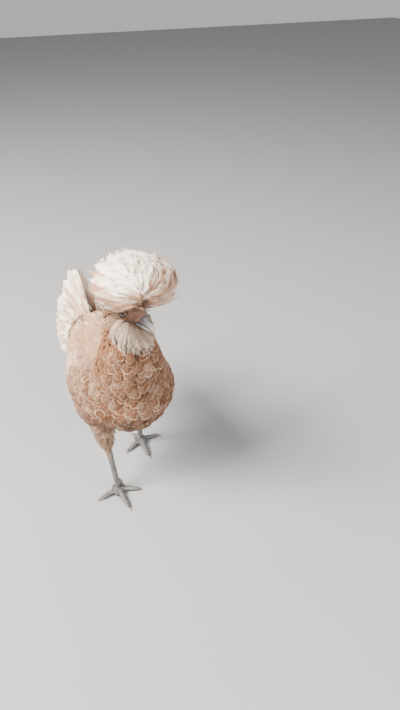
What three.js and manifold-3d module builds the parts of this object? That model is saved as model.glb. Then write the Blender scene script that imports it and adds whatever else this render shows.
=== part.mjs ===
// A crested hen at life size, caught in mid stride with its head turned to its left.
// Millimetres, Z up. The hen faces -Y and its left side is +X. The origin is on the floor under
// the middle of the whole bird. Every form is closed, and neighbours keep a hairline between them.
import * as THREE from "three";
import { mergeVertices } from "three/addons/utils/BufferGeometryUtils.js";
import Module from "manifold-3d";

const wasm = await Module();
wasm.setup();

// Driving sizes
const GAP = 0.3;
const WELD = 0.001;
const APART = 0.02;
const CENTRE = { side: 2.6, forward: -23.9 };
const HOCK_HEIGHT = 78;
const ANKLE_HEIGHT = 11;

// Where each leg stands, before the bird is centred. turn swings the foot towards the midline.
const LEGS = {
  r: { mirror: -1, ankle: [-31, 39], hock: [-35, 27], hip: [-37, 6], turn: 0 },
  l: { mirror: 1, ankle: [39, -47.5], hock: [37, -38], hip: [37, -18], turn: 4.5 },
};

const SKULL = { side: -1, forward: 62, up: 347, turn: 38, nod: 15 };
const rad = THREE.MathUtils.degToRad;
const mix = THREE.MathUtils.lerp;

const COLOURS = {
  buff: 0xc07a4a,
  cream: 0xe6cfb4,
  crest: 0xe9dccb,
  beard: 0xc9b7a0,
  skin: 0xb5786a,
  horn: 0xcfc8c2,
  leg: 0x9aa09c,
  eye: 0x7a3f1c,
};

// A point of the bird: to its left, ahead and up.
function at(side, forward, up) {
  return new THREE.Vector3(side - CENTRE.side, CENTRE.forward - forward, up);
}

// Solids: closed geometry in, closed geometry out.
function solid(geometry) {
  return new wasm.Manifold(
    new wasm.Mesh({
      numProp: 3,
      vertProperties: new Float32Array(geometry.attributes.position.array),
      triVerts: new Uint32Array(geometry.index.array),
    }),
  );
}

function surfaceOf({ vertProperties, triVerts }) {
  const geometry = new THREE.BufferGeometry();
  geometry.setAttribute("position", new THREE.BufferAttribute(vertProperties, 3));
  geometry.setIndex(Array.from(triVerts));
  return geometry;
}

// The outer surface of the largest body: loose scraps go, and sealed hollows are filled.
// Points closer than the weld are one point, and a second pass drops what only met there.
function largest(made) {
  const once = outerSurface(solid(mergeVertices(surfaceOf(made.getMesh()), WELD)));
  const twice = outerSurface(solid(mergeVertices(once, WELD)));
  return outerSurface(solid(stoodApart(twice)));
}

// Two sheets that only touch have a point each at the same spot: every such point steps a hair
// towards its own neighbours, so that no edge belongs to four faces.
function stoodApart(geometry) {
  const place = geometry.attributes.position;
  const spot = (i) => new THREE.Vector3().fromBufferAttribute(place, i);
  const ways = new Map();
  geometry.index.array.forEach((corner, n, corners) => {
    const way = ways.get(corner) ?? new THREE.Vector3();
    for (const k of [0, 1, 2]) way.add(spot(corners[n - (n % 3) + k])).sub(spot(corner));
    ways.set(corner, way);
  });
  const sharing = Map.groupBy(ways.keys(), (corner) => spot(corner).toArray().join());
  for (const corners of sharing.values()) {
    if (corners.length === 1) continue;
    for (const corner of corners) {
      const moved = spot(corner).addScaledVector(ways.get(corner).normalize(), APART);
      place.setXYZ(corner, ...moved);
    }
  }
  return geometry;
}

function outerSurface(welded) {
  const { vertProperties: place, triVerts: corners } = welded.getMesh();
  const owner = Array.from({ length: place.length / 3 }, (_, i) => i);
  const find = (i) => {
    while (owner[i] !== i) i = owner[i] = owner[owner[i]];
    return i;
  };
  for (let i = 0; i < corners.length; i += 3) {
    owner[find(corners[i + 1])] = find(corners[i]);
    owner[find(corners[i + 2])] = find(corners[i]);
  }
  const surfaces = new Map();
  const [a, b, c] = [new THREE.Vector3(), new THREE.Vector3(), new THREE.Vector3()];
  for (let i = 0; i < corners.length; i += 3) {
    const key = find(corners[i]);
    if (!surfaces.has(key)) surfaces.set(key, { volume: 0, corners: [] });
    const surface = surfaces.get(key);
    [a, b, c].forEach((point, k) => point.fromArray(place, 3 * corners[i + k]));
    surface.volume += a.dot(b.cross(c)) / 6;
    surface.corners.push(corners[i], corners[i + 1], corners[i + 2]);
  }
  const kept = [...surfaces.values()].reduce((x, y) => (y.volume > x.volume ? y : x));
  return surfaceOf({ vertProperties: place, triVerts: kept.corners });
}

function joined(...solids) {
  return wasm.Manifold.union(solids);
}

function without(made, ...cutters) {
  return cutters.reduce((rest, cutter) => rest.subtract(cutter), made);
}

function closedGeometry(points, faces) {
  const geometry = new THREE.BufferGeometry();
  geometry.setAttribute(
    "position",
    new THREE.Float32BufferAttribute(points.flatMap((p) => [p.x, p.y, p.z]), 3),
  );
  geometry.setIndex(faces.flat());
  return geometry;
}

// Skin: elliptical rings round a spine, closed to a point at both ends.
// half(t) gives the half width and half height where the form is full, and grow swells it all round.
function skin({ spine, half, around = 16, along = 12, blunt = 1, grow = 0, frame, floor }) {
  const points = [];
  const faces = [];
  const ring = (i) => 1 + (i - 1) * around;
  for (let i = 0; i <= along; i++) {
    const turn = (Math.PI * i) / along;
    const t = (1 - Math.cos(turn)) / 2;
    const middle = spine.getPoint(t);
    const ahead = spine.getTangent(t);
    if (i === 0 || i === along) {
      points.push(middle.addScaledVector(ahead, i === 0 ? -grow : grow));
      continue;
    }
    const side = (frame ?? new THREE.Vector3(1, 0, 0)).clone();
    side.addScaledVector(ahead, -side.dot(ahead)).normalize();
    const up = new THREE.Vector3().crossVectors(side, ahead).negate();
    const full = Math.pow(Math.sin(turn), blunt);
    const [wide, tall] = half(t);
    for (let k = 0; k < around; k++) {
      const angle = (2 * Math.PI * k) / around;
      const point = middle.clone();
      point.addScaledVector(side, (wide * full + grow) * Math.cos(angle));
      point.addScaledVector(up, (tall * full + grow) * Math.sin(angle));
      if (floor !== undefined) point.z = Math.max(point.z, floor);
      points.push(point);
    }
  }
  const last = points.length - 1;
  for (let k = 0; k < around; k++) {
    const next = (k + 1) % around;
    faces.push([0, ring(1) + next, ring(1) + k]);
    for (let i = 1; i < along - 1; i++) {
      const [a, b, c, d] = [ring(i) + k, ring(i) + next, ring(i + 1) + next, ring(i + 1) + k];
      faces.push([a, b, c], [a, c, d]);
    }
    faces.push([last, ring(along - 1) + k, ring(along - 1) + next]);
  }
  return closedGeometry(points, faces);
}

function bent(...points) {
  return points.length === 3
    ? new THREE.QuadraticBezierCurve3(...points)
    : new THREE.CatmullRomCurve3(points);
}

// An ellipsoid placed and turned by a matrix.
function pebble(place, halfSizes, grow = 0, around = 14, along = 10) {
  const geometry = skin({
    spine: new THREE.LineCurve3(
      new THREE.Vector3(0, halfSizes[1], 0),
      new THREE.Vector3(0, -halfSizes[1], 0),
    ),
    half: () => [halfSizes[0], halfSizes[2]],
    around,
    along,
    grow,
  });
  return geometry.applyMatrix4(place);
}

// Seeded chance, so that every run makes the same bird.
function chance(seed) {
  let state = seed;
  return (low, high) => {
    state = (Math.imul(state, 1664525) + 1013904223) >>> 0;
    return mix(low, high, state / 4294967296);
  };
}

// Feather: a thin blade along a bend, four-sided in section, alike on both faces.
// outward is where its upper face looks. tip.round is high for a rounded end and low for a point.
const BLADE_STEPS = 4;
function blade({ root, bend, tip, outward, wide, thick, round = 3, fall = 0.6 }) {
  const line = new THREE.QuadraticBezierCurve3(root, bend, tip);
  const points = [];
  const faces = [];
  for (let i = 0; i < BLADE_STEPS; i++) {
    const t = 1 - Math.pow(1 - i / BLADE_STEPS, 1.5);
    const ahead = line.getTangent(t);
    const across = new THREE.Vector3().crossVectors(outward, ahead).normalize();
    const up = new THREE.Vector3().crossVectors(ahead, across);
    const taper = Math.pow(1 - Math.pow(t, round), fall) * mix(0.55, 1, Math.min(1, t / 0.35));
    const reach = [wide * 0.5 * taper, Math.max(0.3, thick * 0.5 * mix(1, 0.5, t))];
    for (let k = 0; k < 4; k++) {
      const middle = line.getPoint(t);
      middle.addScaledVector(across, [1, 0, -1, 0][k] * reach[0]);
      points.push(middle.addScaledVector(up, [0, 1, 0, -1][k] * reach[1]));
    }
  }
  points.push(tip.clone());
  const last = points.length - 1;
  faces.push([0, 3, 2], [0, 2, 1]);
  for (let k = 0; k < 4; k++) {
    const next = (k + 1) % 4;
    for (let i = 0; i < BLADE_STEPS - 1; i++) {
      const [a, b, c, d] = [4 * i + k, 4 * i + next, 4 * i + 4 + next, 4 * i + 4 + k];
      if (k % 2 === 0) faces.push([a, b, c], [a, c, d]);
      else faces.push([a, b, d], [b, c, d]);
    }
    faces.push([last, last - 4 + k, last - 4 + next]);
  }
  return solid(closedGeometry(points, faces));
}

const hen = new THREE.Group();

function part(name, made, colour, roughness = 0.85) {
  const geometry = largest(made);
  geometry.computeVertexNormals();
  const material = new THREE.MeshStandardMaterial({ color: colour, roughness, metalness: 0 });
  const piece = new THREE.Mesh(geometry, material);
  piece.name = name;
  hen.add(piece);
}

// Torso: a deep round breast, a hollow back and a rump that rises to the tail.
const TORSO = { rump: at(0, -114, 240), sag: at(3, -12, 136), crop: at(4, 92, 222), wide: 66, tall: 62 };
const torsoSpine = bent(TORSO.rump, TORSO.sag, TORSO.crop);
const torsoHalf = (t) => [TORSO.wide * mix(0.86, 1.06, t), TORSO.tall * mix(0.86, 1.06, t)];
const TORSO_BLUNT = 0.86;
function torso(grow = 0) {
  return solid(
    skin({
      spine: torsoSpine,
      half: torsoHalf,
      around: 24,
      along: 16,
      blunt: TORSO_BLUNT,
      grow,
    }),
  );
}

// A place on the flank: t runs from rump to crop, climb turns up the side from its middle,
// and lift stands off the surface.
function onFlank(mirror, t, climb, lift) {
  const ahead = torsoSpine.getTangent(t);
  const side = new THREE.Vector3(mirror, 0, 0);
  const up = new THREE.Vector3(0, ahead.z, -ahead.y);
  const turn = Math.acos(1 - 2 * t);
  const full = Math.pow(Math.sin(turn), TORSO_BLUNT);
  const [wide, tall] = torsoHalf(t);
  return torsoSpine
    .getPoint(t)
    .addScaledVector(side, (wide * full + lift) * Math.cos(climb))
    .addScaledVector(up, (tall * full + lift) * Math.sin(climb));
}

// Neck: thick with hackle, narrowing up to the skull.
const NECK = { root: at(4, 24, 184), bend: at(8, 70, 262), top: at(-1, 43, 354), low: 67, high: 25 };
function neck(grow = 0) {
  return solid(
    skin({
      spine: bent(NECK.root, NECK.bend, NECK.top),
      half: (t) => [mix(NECK.low, NECK.high, Math.pow(t, 0.85)), mix(NECK.low * 1.04, NECK.high, t)],
      around: 18,
      along: 10,
      blunt: 0.7,
      grow,
    }),
  );
}

// Head: everything on it is laid out in the skull's own frame, -Y to the bill and Z up.
const headFrame = new THREE.Matrix4()
  .makeTranslation(at(SKULL.side, SKULL.forward, SKULL.up))
  .multiply(new THREE.Matrix4().makeRotationZ(rad(SKULL.turn)))
  .multiply(new THREE.Matrix4().makeRotationX(rad(SKULL.nod)));
function onHead(side, forward, up) {
  return new THREE.Vector3(side, -forward, up).applyMatrix4(headFrame);
}
function headPlace(side, forward, up, tilt = 0) {
  return headFrame
    .clone()
    .multiply(new THREE.Matrix4().makeTranslation(side, -forward, up))
    .multiply(new THREE.Matrix4().makeRotationX(rad(tilt)));
}

const EYE = { side: 13.2, rim: 11.6, forward: 9, up: 2, radius: 5.4, lid: 7 };
function eyeball(mirror, grow = 0) {
  const r = EYE.radius + grow;
  return solid(pebble(headPlace(mirror * EYE.side, EYE.forward, EYE.up), [r, r, r], 0, 12, 8));
}

function skull(grow = 0) {
  const cranium = solid(pebble(headPlace(0, 1, 2), [17, 25, 19], grow, 12, 9));
  const face = solid(
    skin({
      spine: bent(onHead(0, -4, -2), onHead(0, 15, 2), onHead(0, 30, -7)),
      half: (t) => [mix(14.5, 8.5, t), mix(16, 9, t)],
      frame: new THREE.Vector3(1, 0, 0).transformDirection(headFrame),
      around: 10,
      along: 7,
      blunt: 0.7,
      grow,
    }),
  );
  return joined(cranium, face);
}

// Bill: the upper half hooks over the lower one, with a raised nostril at its root.
const BILL = { root: 21, tip: 48, drop: 14, wide: 6.4, tall: 6.0 };
const headSide = new THREE.Vector3(1, 0, 0).transformDirection(headFrame);
function upperBill(grow = 0) {
  const horn = skin({
    spine: bent(
      onHead(0, BILL.root - 6, -6),
      onHead(0, BILL.root + 8, -6.4),
      onHead(0, BILL.tip - 8, -8.6),
      onHead(0, BILL.tip, -BILL.drop - 2),
    ),
    half: (t) => [BILL.wide * mix(1, 0.28, t), BILL.tall * mix(0.9, 0.34, t)],
    frame: headSide,
    around: 10,
    along: 8,
    blunt: 0.45,
    grow,
  });
  const nostrilHood = pebble(headPlace(0, BILL.root + 7, -3), [5.4, 6.5, 3.6], grow, 8, 6);
  return joined(solid(horn), solid(nostrilHood));
}
function lowerBill(grow = 0) {
  return solid(
    skin({
      spine: bent(
        onHead(0, BILL.root - 5, -12),
        onHead(0, BILL.root + 9, -14),
        onHead(0, BILL.tip - 6, -15.4),
      ),
      half: (t) => [BILL.wide * mix(0.9, 0.34, t), mix(3.4, 1.3, t)],
      frame: headSide,
      around: 8,
      along: 7,
      blunt: 0.5,
      grow,
    }),
  );
}

// Crest: a wide mop of feathers on the crown, falling forward over the bill.
const CREST = {
  forward: 9,
  up: 40,
  half: [50, 49, 30],
  hang: 46,
  knob: [1, 16],
  core: { forward: 3, up: 29, half: [25, 25, 15] },
  layer: 2.4,
  sag: 27,
  arch: 40,
  thick: 1.8,
  tiers: [
    { count: 2, rise: 78, wide: 27 },
    { count: 7, rise: 52, wide: 28 },
    { count: 10, rise: 27, wide: 28 },
    { count: 12, rise: 4, wide: 26 },
    { count: 11, rise: -17, wide: 24 },
  ],
};
const crestFrame = headPlace(0, CREST.forward, CREST.up, -SKULL.nod);
function onCrest(around, climb, reach) {
  const [wide, deep, tall] = CREST.half;
  return new THREE.Vector3(
    wide * Math.sin(around) * Math.cos(climb),
    -deep * Math.cos(around) * Math.cos(climb),
    (climb < 0 ? CREST.hang : tall) * Math.sin(climb),
  )
    .multiplyScalar(reach)
    .applyMatrix4(crestFrame);
}
function crest() {
  const vary = chance(11);
  const knob = onHead(0, CREST.knob[0], CREST.knob[1]);
  const blades = [];
  for (const [tier, { count, rise, wide }] of CREST.tiers.entries()) {
    for (let k = 0; k < count; k++) {
      const around = (2 * Math.PI * (k + 0.5 * (tier % 2) + vary(-0.18, 0.18))) / count;
      const sag = CREST.sag * Math.cos(rad(rise)) * (1 - Math.cos(around)) * 0.5;
      const climb = rad(rise - sag + vary(-5, 5));
      const reach = vary(0.95, 1.03);
      const tip = onCrest(around, climb, reach);
      tip.addScaledVector(tip.clone().sub(knob).normalize(), (k % 2) * CREST.layer);
      const root = knob.clone().lerp(tip, 0.2);
      const bend = onCrest(around, Math.min(climb + rad(CREST.arch), rad(100)), 1.06);
      bend.addScaledVector(bend.clone().sub(knob).normalize(), (k % 2) * 2 * CREST.layer);
      const outward = bend.clone().sub(knob);
      blades.push(blade({ root, bend, tip, outward, wide, thick: CREST.thick, round: 2.6, fall: 0.9 }));
    }
  }
  const middle = headPlace(0, CREST.core.forward, CREST.core.up, -SKULL.nod);
  const core = solid(pebble(middle, CREST.core.half, 0, 14, 8));
  return joined(core, ...blades);
}

// Beard and muffs: a bib of soft feathers from the cheeks round under the bill.
const BEARD = {
  forward: 19,
  core: { up: -21, half: [17, 18, 14] },
  thick: 1.8,
  tiers: [
    { count: 11, sweep: 128, from: [13, 14, -9], bow: [28, 29, -9], to: [32, 34, -29], wide: 14 },
    { count: 10, sweep: 120, from: [12, 13, -18], bow: [26, 28, -20], to: [29, 33, -42], wide: 14 },
    { count: 7, sweep: 105, from: [8, 10, -25], bow: [18, 22, -29], to: [18, 26, -53], wide: 14 },
  ],
};
function beard() {
  const vary = chance(23);
  const spot = (turn, [side, ahead, up]) =>
    onHead(side * Math.sin(turn), BEARD.forward + ahead * Math.cos(turn), up);
  const blades = [];
  for (const { count, sweep, from, bow, to, wide } of BEARD.tiers) {
    for (let k = 0; k < count; k++) {
      const turn = rad(mix(-sweep, sweep, (k + 0.5 + vary(-0.15, 0.15)) / count));
      const long = vary(0.94, 1.05);
      const root = spot(turn, from);
      const tip = root.clone().lerp(spot(turn + rad(vary(-4, 4)), to), long);
      const outward = tip.clone().sub(onHead(0, BEARD.forward, to[2] + 10));
      const bend = spot(turn, bow);
      blades.push(blade({ root, bend, tip, outward, wide, thick: BEARD.thick, round: 2.2, fall: 0.9 }));
    }
  }
  const core = solid(pebble(headPlace(0, BEARD.forward, BEARD.core.up), BEARD.core.half, 0, 12, 8));
  return joined(core, ...blades);
}

// Wing: folded against the flank. A thin core carries three tiers of feathers.
// Places are [t along the flank from rump to crop, climb up the side in degrees].
const WING = {
  shoulder: [0.84, -3],
  rear: [0.05, 14],
  spread: 30,
  core: { lift: 7, edge: 0.8 },
  tiers: [
    { count: 7, from: [0.4, 0.85], to: [0.98, 0.8], lift: [8.5, 3.5], wide: 24, slope: 0.16, taper: 0.6 },
    { count: 6, from: [0.18, 0.9], to: [0.6, 0.9], lift: [9.5, 6], wide: 24, slope: 0.08, taper: 0.85 },
    { count: 5, from: [0.05, 0.75], to: [0.34, 0.85], lift: [11.5, 8.5], wide: 22, slope: 0.03, taper: 1 },
  ],
  thick: 1.6,
};
function onWing(mirror, along, climb, lift) {
  const t = mix(WING.shoulder[0], WING.rear[0], along);
  const middle = mix(WING.shoulder[1], WING.rear[1], along);
  return onFlank(mirror, t, rad(middle + climb * WING.spread), lift);
}

// The core is a closed slab over the front half of the wing, thin at its rim.
function wingCore(mirror) {
  const [rows, columns] = [5, 6];
  const points = [];
  const faces = [];
  const put = (layer, i, j) => layer * (rows + 1) * (columns + 1) + i * (columns + 1) + j;
  for (const layer of [0, 1]) {
    for (let i = 0; i <= rows; i++) {
      for (let j = 0; j <= columns; j++) {
        const [u, v] = [(2 * i) / rows - 1, (2 * j) / columns - 1];
        const round = Math.sqrt(1 - 0.45 * u * u);
        const full = (1 - u * u) * (1 - v * v);
        const lift = layer * (WING.core.edge + WING.core.lift * Math.sqrt(full)) + 2 * GAP;
        points.push(onWing(mirror, mix(0.02, 0.6, (u + 1) / 2), v * round * 0.85, lift));
      }
    }
  }
  const quad = (a, b, c, d) => faces.push([a, b, c], [a, c, d]);
  for (let i = 0; i < rows; i++) {
    for (let j = 0; j < columns; j++) {
      quad(put(1, i, j), put(1, i + 1, j), put(1, i + 1, j + 1), put(1, i, j + 1));
      quad(put(0, i, j), put(0, i, j + 1), put(0, i + 1, j + 1), put(0, i + 1, j));
    }
    quad(put(0, i, 0), put(0, i + 1, 0), put(1, i + 1, 0), put(1, i, 0));
    quad(put(1, i, columns), put(1, i + 1, columns), put(0, i + 1, columns), put(0, i, columns));
  }
  for (let j = 0; j < columns; j++) {
    quad(put(1, 0, j), put(1, 0, j + 1), put(0, 0, j + 1), put(0, 0, j));
    quad(put(0, rows, j), put(0, rows, j + 1), put(1, rows, j + 1), put(1, rows, j));
  }
  if (mirror < 0) faces.forEach((face) => face.reverse());
  return solid(closedGeometry(points, faces));
}

function wing(mirror) {
  const vary = chance(37 + mirror);
  const blades = [];
  for (const { count, from, to, lift, wide, slope, taper } of WING.tiers) {
    for (let k = 0; k < count; k++) {
      const place = 1 - (2 * (k + 0.5)) / count;
      const high = mix(lift[1], lift[0], (place + 1) / 2);
      const begin = from[0] + slope * (1 - place) * 0.4;
      const end = to[0] - slope * (1 - place) * 1.1 + vary(-0.012, 0.012);
      const [a, c] = [place * from[1], place * to[1] * taper];
      const root = onWing(mirror, begin, a, high * 0.45);
      const tip = onWing(mirror, end, c + vary(-0.03, 0.03), high);
      const middle = onWing(mirror, mix(begin, end, 0.5), mix(a, c, 0.5), high + 1 + 1.1 * (k % 2));
      const bend = middle.clone().multiplyScalar(2).addScaledVector(root, -0.5).addScaledVector(tip, -0.5);
      const outward = onWing(mirror, mix(begin, end, 0.5), mix(a, c, 0.5), 30).sub(middle);
      blades.push(blade({ root, bend, tip, outward, wide, thick: WING.thick, round: 5, fall: 0.5 }));
    }
  }
  return joined(wingCore(mirror), ...blades);
}

// Tail: a tent of flight feathers standing up from the rump, with soft coverts over their roots.
const TAIL = {
  root: at(0, -104, 233),
  core: [19, 17, 20],
  turn: 8,
  side: 10,
  fan: { count: 7, rise: [54, -34], swing: [2, 40], long: [80, 69], wide: [27, 27], drop: 34 },
  cover: { count: 3, rise: [58, -18], swing: [8, 50], long: [50, 46], wide: [32, 30], drop: 24 },
};
function tailRow(row, stand, vary) {
  const blades = [];
  for (const mirror of [-1, 1]) {
    for (let k = 0; k < row.count; k++) {
      const down = k / (row.count - 1);
      const rise = rad(mix(...row.rise, down) + vary(-1.5, 1.5));
      const swing = mirror * rad(mix(...row.swing, down) + vary(-1, 1)) - rad(TAIL.turn);
      const way = new THREE.Vector3(
        Math.sin(swing) * Math.cos(rise),
        Math.cos(swing) * Math.cos(rise),
        Math.sin(rise),
      );
      const outward = new THREE.Vector3(mirror * mix(0.8, 1, down), -0.35, mix(0.7, 0.2, down));
      const root = TAIL.root.clone();
      root.x += mirror * mix(2, TAIL.side, down);
      root.z -= row.drop * down;
      root.addScaledVector(outward.clone().normalize(), stand - 0.7 * k);
      const long = mix(...row.long, down) * vary(0.97, 1.03);
      const tip = root.clone().addScaledVector(way, long);
      const bend = root.clone().lerp(tip, 0.5).addScaledVector(outward.clone().normalize(), long * 0.05);
      const wide = mix(...row.wide, down);
      blades.push(blade({ root, bend, tip, outward, wide, thick: 1.6, round: 5, fall: 0.5 }));
    }
  }
  return blades;
}
function tail() {
  const vary = chance(53);
  const place = new THREE.Matrix4().makeTranslation(TAIL.root.x, TAIL.root.y + 8, TAIL.root.z + 4);
  const core = solid(pebble(place, TAIL.core, 0, 12, 8));
  return joined(core, ...tailRow(TAIL.fan, 0, vary), ...tailRow(TAIL.cover, 4.5, vary));
}

// Legs
function thigh(leg, grow = 0) {
  const [hip, hock] = [leg.hip, leg.hock];
  return solid(
    skin({
      spine: bent(
        at(hip[0], hip[1], 186),
        at(mix(hip[0], hock[0], 0.5), mix(hip[1], hock[1], 0.35), 125),
        at(hock[0], hock[1], HOCK_HEIGHT - 3),
      ),
      half: (t) => [mix(36, 6.2, Math.pow(t, 0.75)), mix(40, 7.2, Math.pow(t, 0.75))],
      around: 14,
      along: 9,
      blunt: 0.6,
      grow,
    }),
  );
}

function shank(leg, grow = 0) {
  const top = at(leg.hock[0], leg.hock[1], HOCK_HEIGHT + 6);
  const foot = at(leg.ankle[0], leg.ankle[1], ANKLE_HEIGHT);
  const middle = top.clone().lerp(foot, 0.5);
  return solid(
    skin({
      spine: bent(top, middle, foot),
      half: (t) => {
        const waist = 1 - 0.21 * Math.sin(Math.PI * t);
        return [5.4 * waist, mix(6.4, 5.8, t) * waist];
      },
      around: 10,
      along: 9,
      blunt: 0.35,
      grow,
    }),
  );
}

// Toes: angle is measured from straight ahead, positive towards the midline.
const TOES = {
  inner: { angle: 67, reach: 40, base: 4.8, tip: 3.1 },
  middle: { angle: 5, reach: 47, base: 5.0, tip: 3.2 },
  outer: { angle: -81, reach: 39.5, base: 4.6, tip: 3.0 },
  hind: { angle: 160, reach: 27, base: 3.9, tip: 2.8 },
};
const CLAW = { length: 9, thick: 2.3 };

function footFrame(leg) {
  return new THREE.Matrix4()
    .makeTranslation(at(leg.ankle[0], leg.ankle[1], 0))
    .multiply(new THREE.Matrix4().makeRotationZ(rad(leg.turn)));
}

function pad(leg, grow = 0) {
  const geometry = skin({
    spine: new THREE.LineCurve3(new THREE.Vector3(0, 11, 4.6), new THREE.Vector3(0, -13, 4.6)),
    half: () => [10.5, 6.4],
    around: 10,
    along: 8,
    blunt: 0.5,
    grow,
    floor: 0,
  });
  return solid(geometry.applyMatrix4(footFrame(leg)));
}

function toeLine(leg, toe, from, to, rise) {
  const angle = rad(toe.angle) * -leg.mirror;
  const way = new THREE.Vector3(Math.sin(angle), -Math.cos(angle), 0);
  const frame = footFrame(leg);
  const spot = (reach, up) => new THREE.Vector3(0, 0, up).addScaledVector(way, reach).applyMatrix4(frame);
  return [spot(from, rise[0]), spot(mix(from, to, 0.5), rise[1]), spot(to, rise[2]), way];
}

function toeForm(leg, toe, grow = 0) {
  const [a, b, c, way] = toeLine(leg, toe, 3, toe.reach - CLAW.length + 2.5, [5.6, 3.9, 2.5]);
  return solid(
    skin({
      spine: bent(a, b, c),
      half: (t) => {
        const knuckle = 1 + 0.1 * Math.cos(2 * Math.PI * 3 * t);
        const round = mix(toe.base, toe.tip, t) * knuckle;
        return [round, round];
      },
      frame: new THREE.Vector3(-way.y, way.x, 0).transformDirection(footFrame(leg)),
      around: 8,
      along: 9,
      blunt: 0.4,
      grow,
      floor: 0,
    }),
  );
}

function claw(leg, toe) {
  const [a, b, c, way] = toeLine(leg, toe, toe.reach - CLAW.length - 1, toe.reach, [3.2, 3.4, 0.2]);
  return solid(
    skin({
      spine: bent(a, b, c),
      half: (t) => [CLAW.thick * 0.8 * mix(1, 0.25, t), CLAW.thick * mix(1, 0.25, t)],
      frame: new THREE.Vector3(-way.y, way.x, 0).transformDirection(footFrame(leg)),
      around: 6,
      along: 5,
      blunt: 0.45,
      floor: 0,
    }),
  );
}

// Mouth and nostrils: slits cut where the two halves of the bill meet, and in the hood over them.
function mouthSlit() {
  return solid(pebble(headPlace(0, BILL.root - 2, -10.8, 5), [16, 13, 0.7], 0, 10, 4));
}
function nostrils() {
  return joined(
    ...[-1, 1].map((mirror) =>
      solid(pebble(headPlace(mirror * 4.6, BILL.root + 8.5, -2.6, -12), [2, 2.6, 1], 0, 6, 4)),
    ),
  );
}
function lids(grow = 0) {
  return joined(
    ...[-1, 1].map((mirror) =>
      solid(pebble(headPlace(mirror * EYE.rim, EYE.forward, EYE.up), [5.4, EYE.lid, EYE.lid], grow, 10, 6)),
    ),
  );
}

// Assembly: each form is cut back by what it grows from.
const eyeRoom = [eyeball(-1, GAP), eyeball(1, GAP)];
const billRoom = [upperBill(GAP), lowerBill(GAP)];
const headRoom = [skull(GAP), lids(GAP), ...eyeRoom, ...billRoom];
part("torso", torso(), COLOURS.buff);
part("neck", without(neck(), torso(GAP), ...headRoom), COLOURS.buff);
const face = joined(skull(), lids());
part("head", without(face, torso(GAP), ...eyeRoom, ...billRoom, mouthSlit()), COLOURS.skin);
part("eye_r", eyeball(-1), COLOURS.eye, 0.1);
part("eye_l", eyeball(1), COLOURS.eye, 0.1);
part("bill_upper", without(upperBill(), neck(GAP), nostrils()), COLOURS.horn, 0.4);
part("bill_lower", without(lowerBill(), upperBill(GAP), neck(GAP)), COLOURS.horn, 0.4);
part("crest", without(crest(), neck(GAP), ...headRoom), COLOURS.crest);
part("beard", without(beard(), neck(GAP), torso(GAP), ...headRoom), COLOURS.beard);
part("tail", without(tail(), torso(GAP)), COLOURS.cream);
for (const [name, leg] of Object.entries(LEGS)) {
  const fluff = thigh(leg, GAP);
  part("wing_" + name, without(wing(leg.mirror), torso(GAP), neck(GAP), fluff), COLOURS.buff);
  part("thigh_" + name, without(thigh(leg), torso(GAP)), COLOURS.cream);
  part("shank_" + name, without(shank(leg), fluff, torso(GAP)), COLOURS.leg, 0.6);
  part("foot_" + name, without(pad(leg), shank(leg, GAP)), COLOURS.leg, 0.6);
  const grown = [shank(leg, GAP), pad(leg, GAP)];
  for (const [toe, sizes] of Object.entries(TOES)) {
    part("toe_" + toe + "_" + name, without(toeForm(leg, sizes), ...grown), COLOURS.leg, 0.6);
    part("claw_" + toe + "_" + name, without(claw(leg, sizes), toeForm(leg, sizes, GAP)), COLOURS.horn, 0.4);
  }
}

export default hen;
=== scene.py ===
"""A life-size crested hen in mid stride, dressed over its solid model.

One skin covers the body, head and legs. Feathers are real vanes laid over it, tract by tract.
"""

import math

import bpy
import numpy as np
from bpy.props import FloatProperty, FloatVectorProperty, IntProperty, PointerProperty
from mathutils import Matrix, Vector
from mathutils.bvhtree import BVHTree


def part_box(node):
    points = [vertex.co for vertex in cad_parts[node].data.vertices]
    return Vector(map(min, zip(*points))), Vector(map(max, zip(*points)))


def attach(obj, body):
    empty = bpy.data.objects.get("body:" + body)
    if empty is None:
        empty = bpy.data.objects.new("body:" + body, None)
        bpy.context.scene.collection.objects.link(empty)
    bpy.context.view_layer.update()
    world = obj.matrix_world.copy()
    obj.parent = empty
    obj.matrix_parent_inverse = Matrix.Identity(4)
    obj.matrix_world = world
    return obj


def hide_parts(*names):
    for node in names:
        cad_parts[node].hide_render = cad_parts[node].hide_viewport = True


bl_info = {
    "name": "Crested hen",
    "version": (1, 0, 0),
    "blender": (4, 5, 0),
    "location": "View3D > Sidebar > Hen",
    "description": "Dresses the solid model of a crested hen in skin, scales and feathers",
    "category": "Add Mesh",
}

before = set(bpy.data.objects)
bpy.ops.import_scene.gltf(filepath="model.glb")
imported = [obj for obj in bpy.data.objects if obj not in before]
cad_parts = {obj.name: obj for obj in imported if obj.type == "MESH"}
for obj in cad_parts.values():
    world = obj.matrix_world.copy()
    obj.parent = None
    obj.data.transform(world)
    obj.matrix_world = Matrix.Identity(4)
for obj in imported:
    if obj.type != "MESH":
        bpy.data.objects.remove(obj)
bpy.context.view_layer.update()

MM = 0.001
UP = np.array([0.0, 0.0, 1.0])
BACK = np.array([0.0, 1.0, 0.0])
LEFT = np.array([1.0, 0.0, 0.0])
SIDES = {"r": -1, "l": 1}
TOES = ("inner", "middle", "outer", "hind")

# Where the floor origin lies from the point that the bird was measured from, in millimetres
ORIGIN = np.array([2.6, 23.9, 0.0])

# The skull's middle in the same millimetres, and its turn and nod in degrees
SKULL_PLACE = (-1, -62, 347)
SKULL_TURN = 38
SKULL_NOD = 15

# The body's own line from rump over sag to crop, in the same millimetres, and its half width and height
RUMP = (0, 114, 240)
SAG = (3, 12, 136)
CROP = (4, -92, 222)
BODY_HALF_WIDTH = 66
BODY_HALF_HEIGHT = 62

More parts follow.
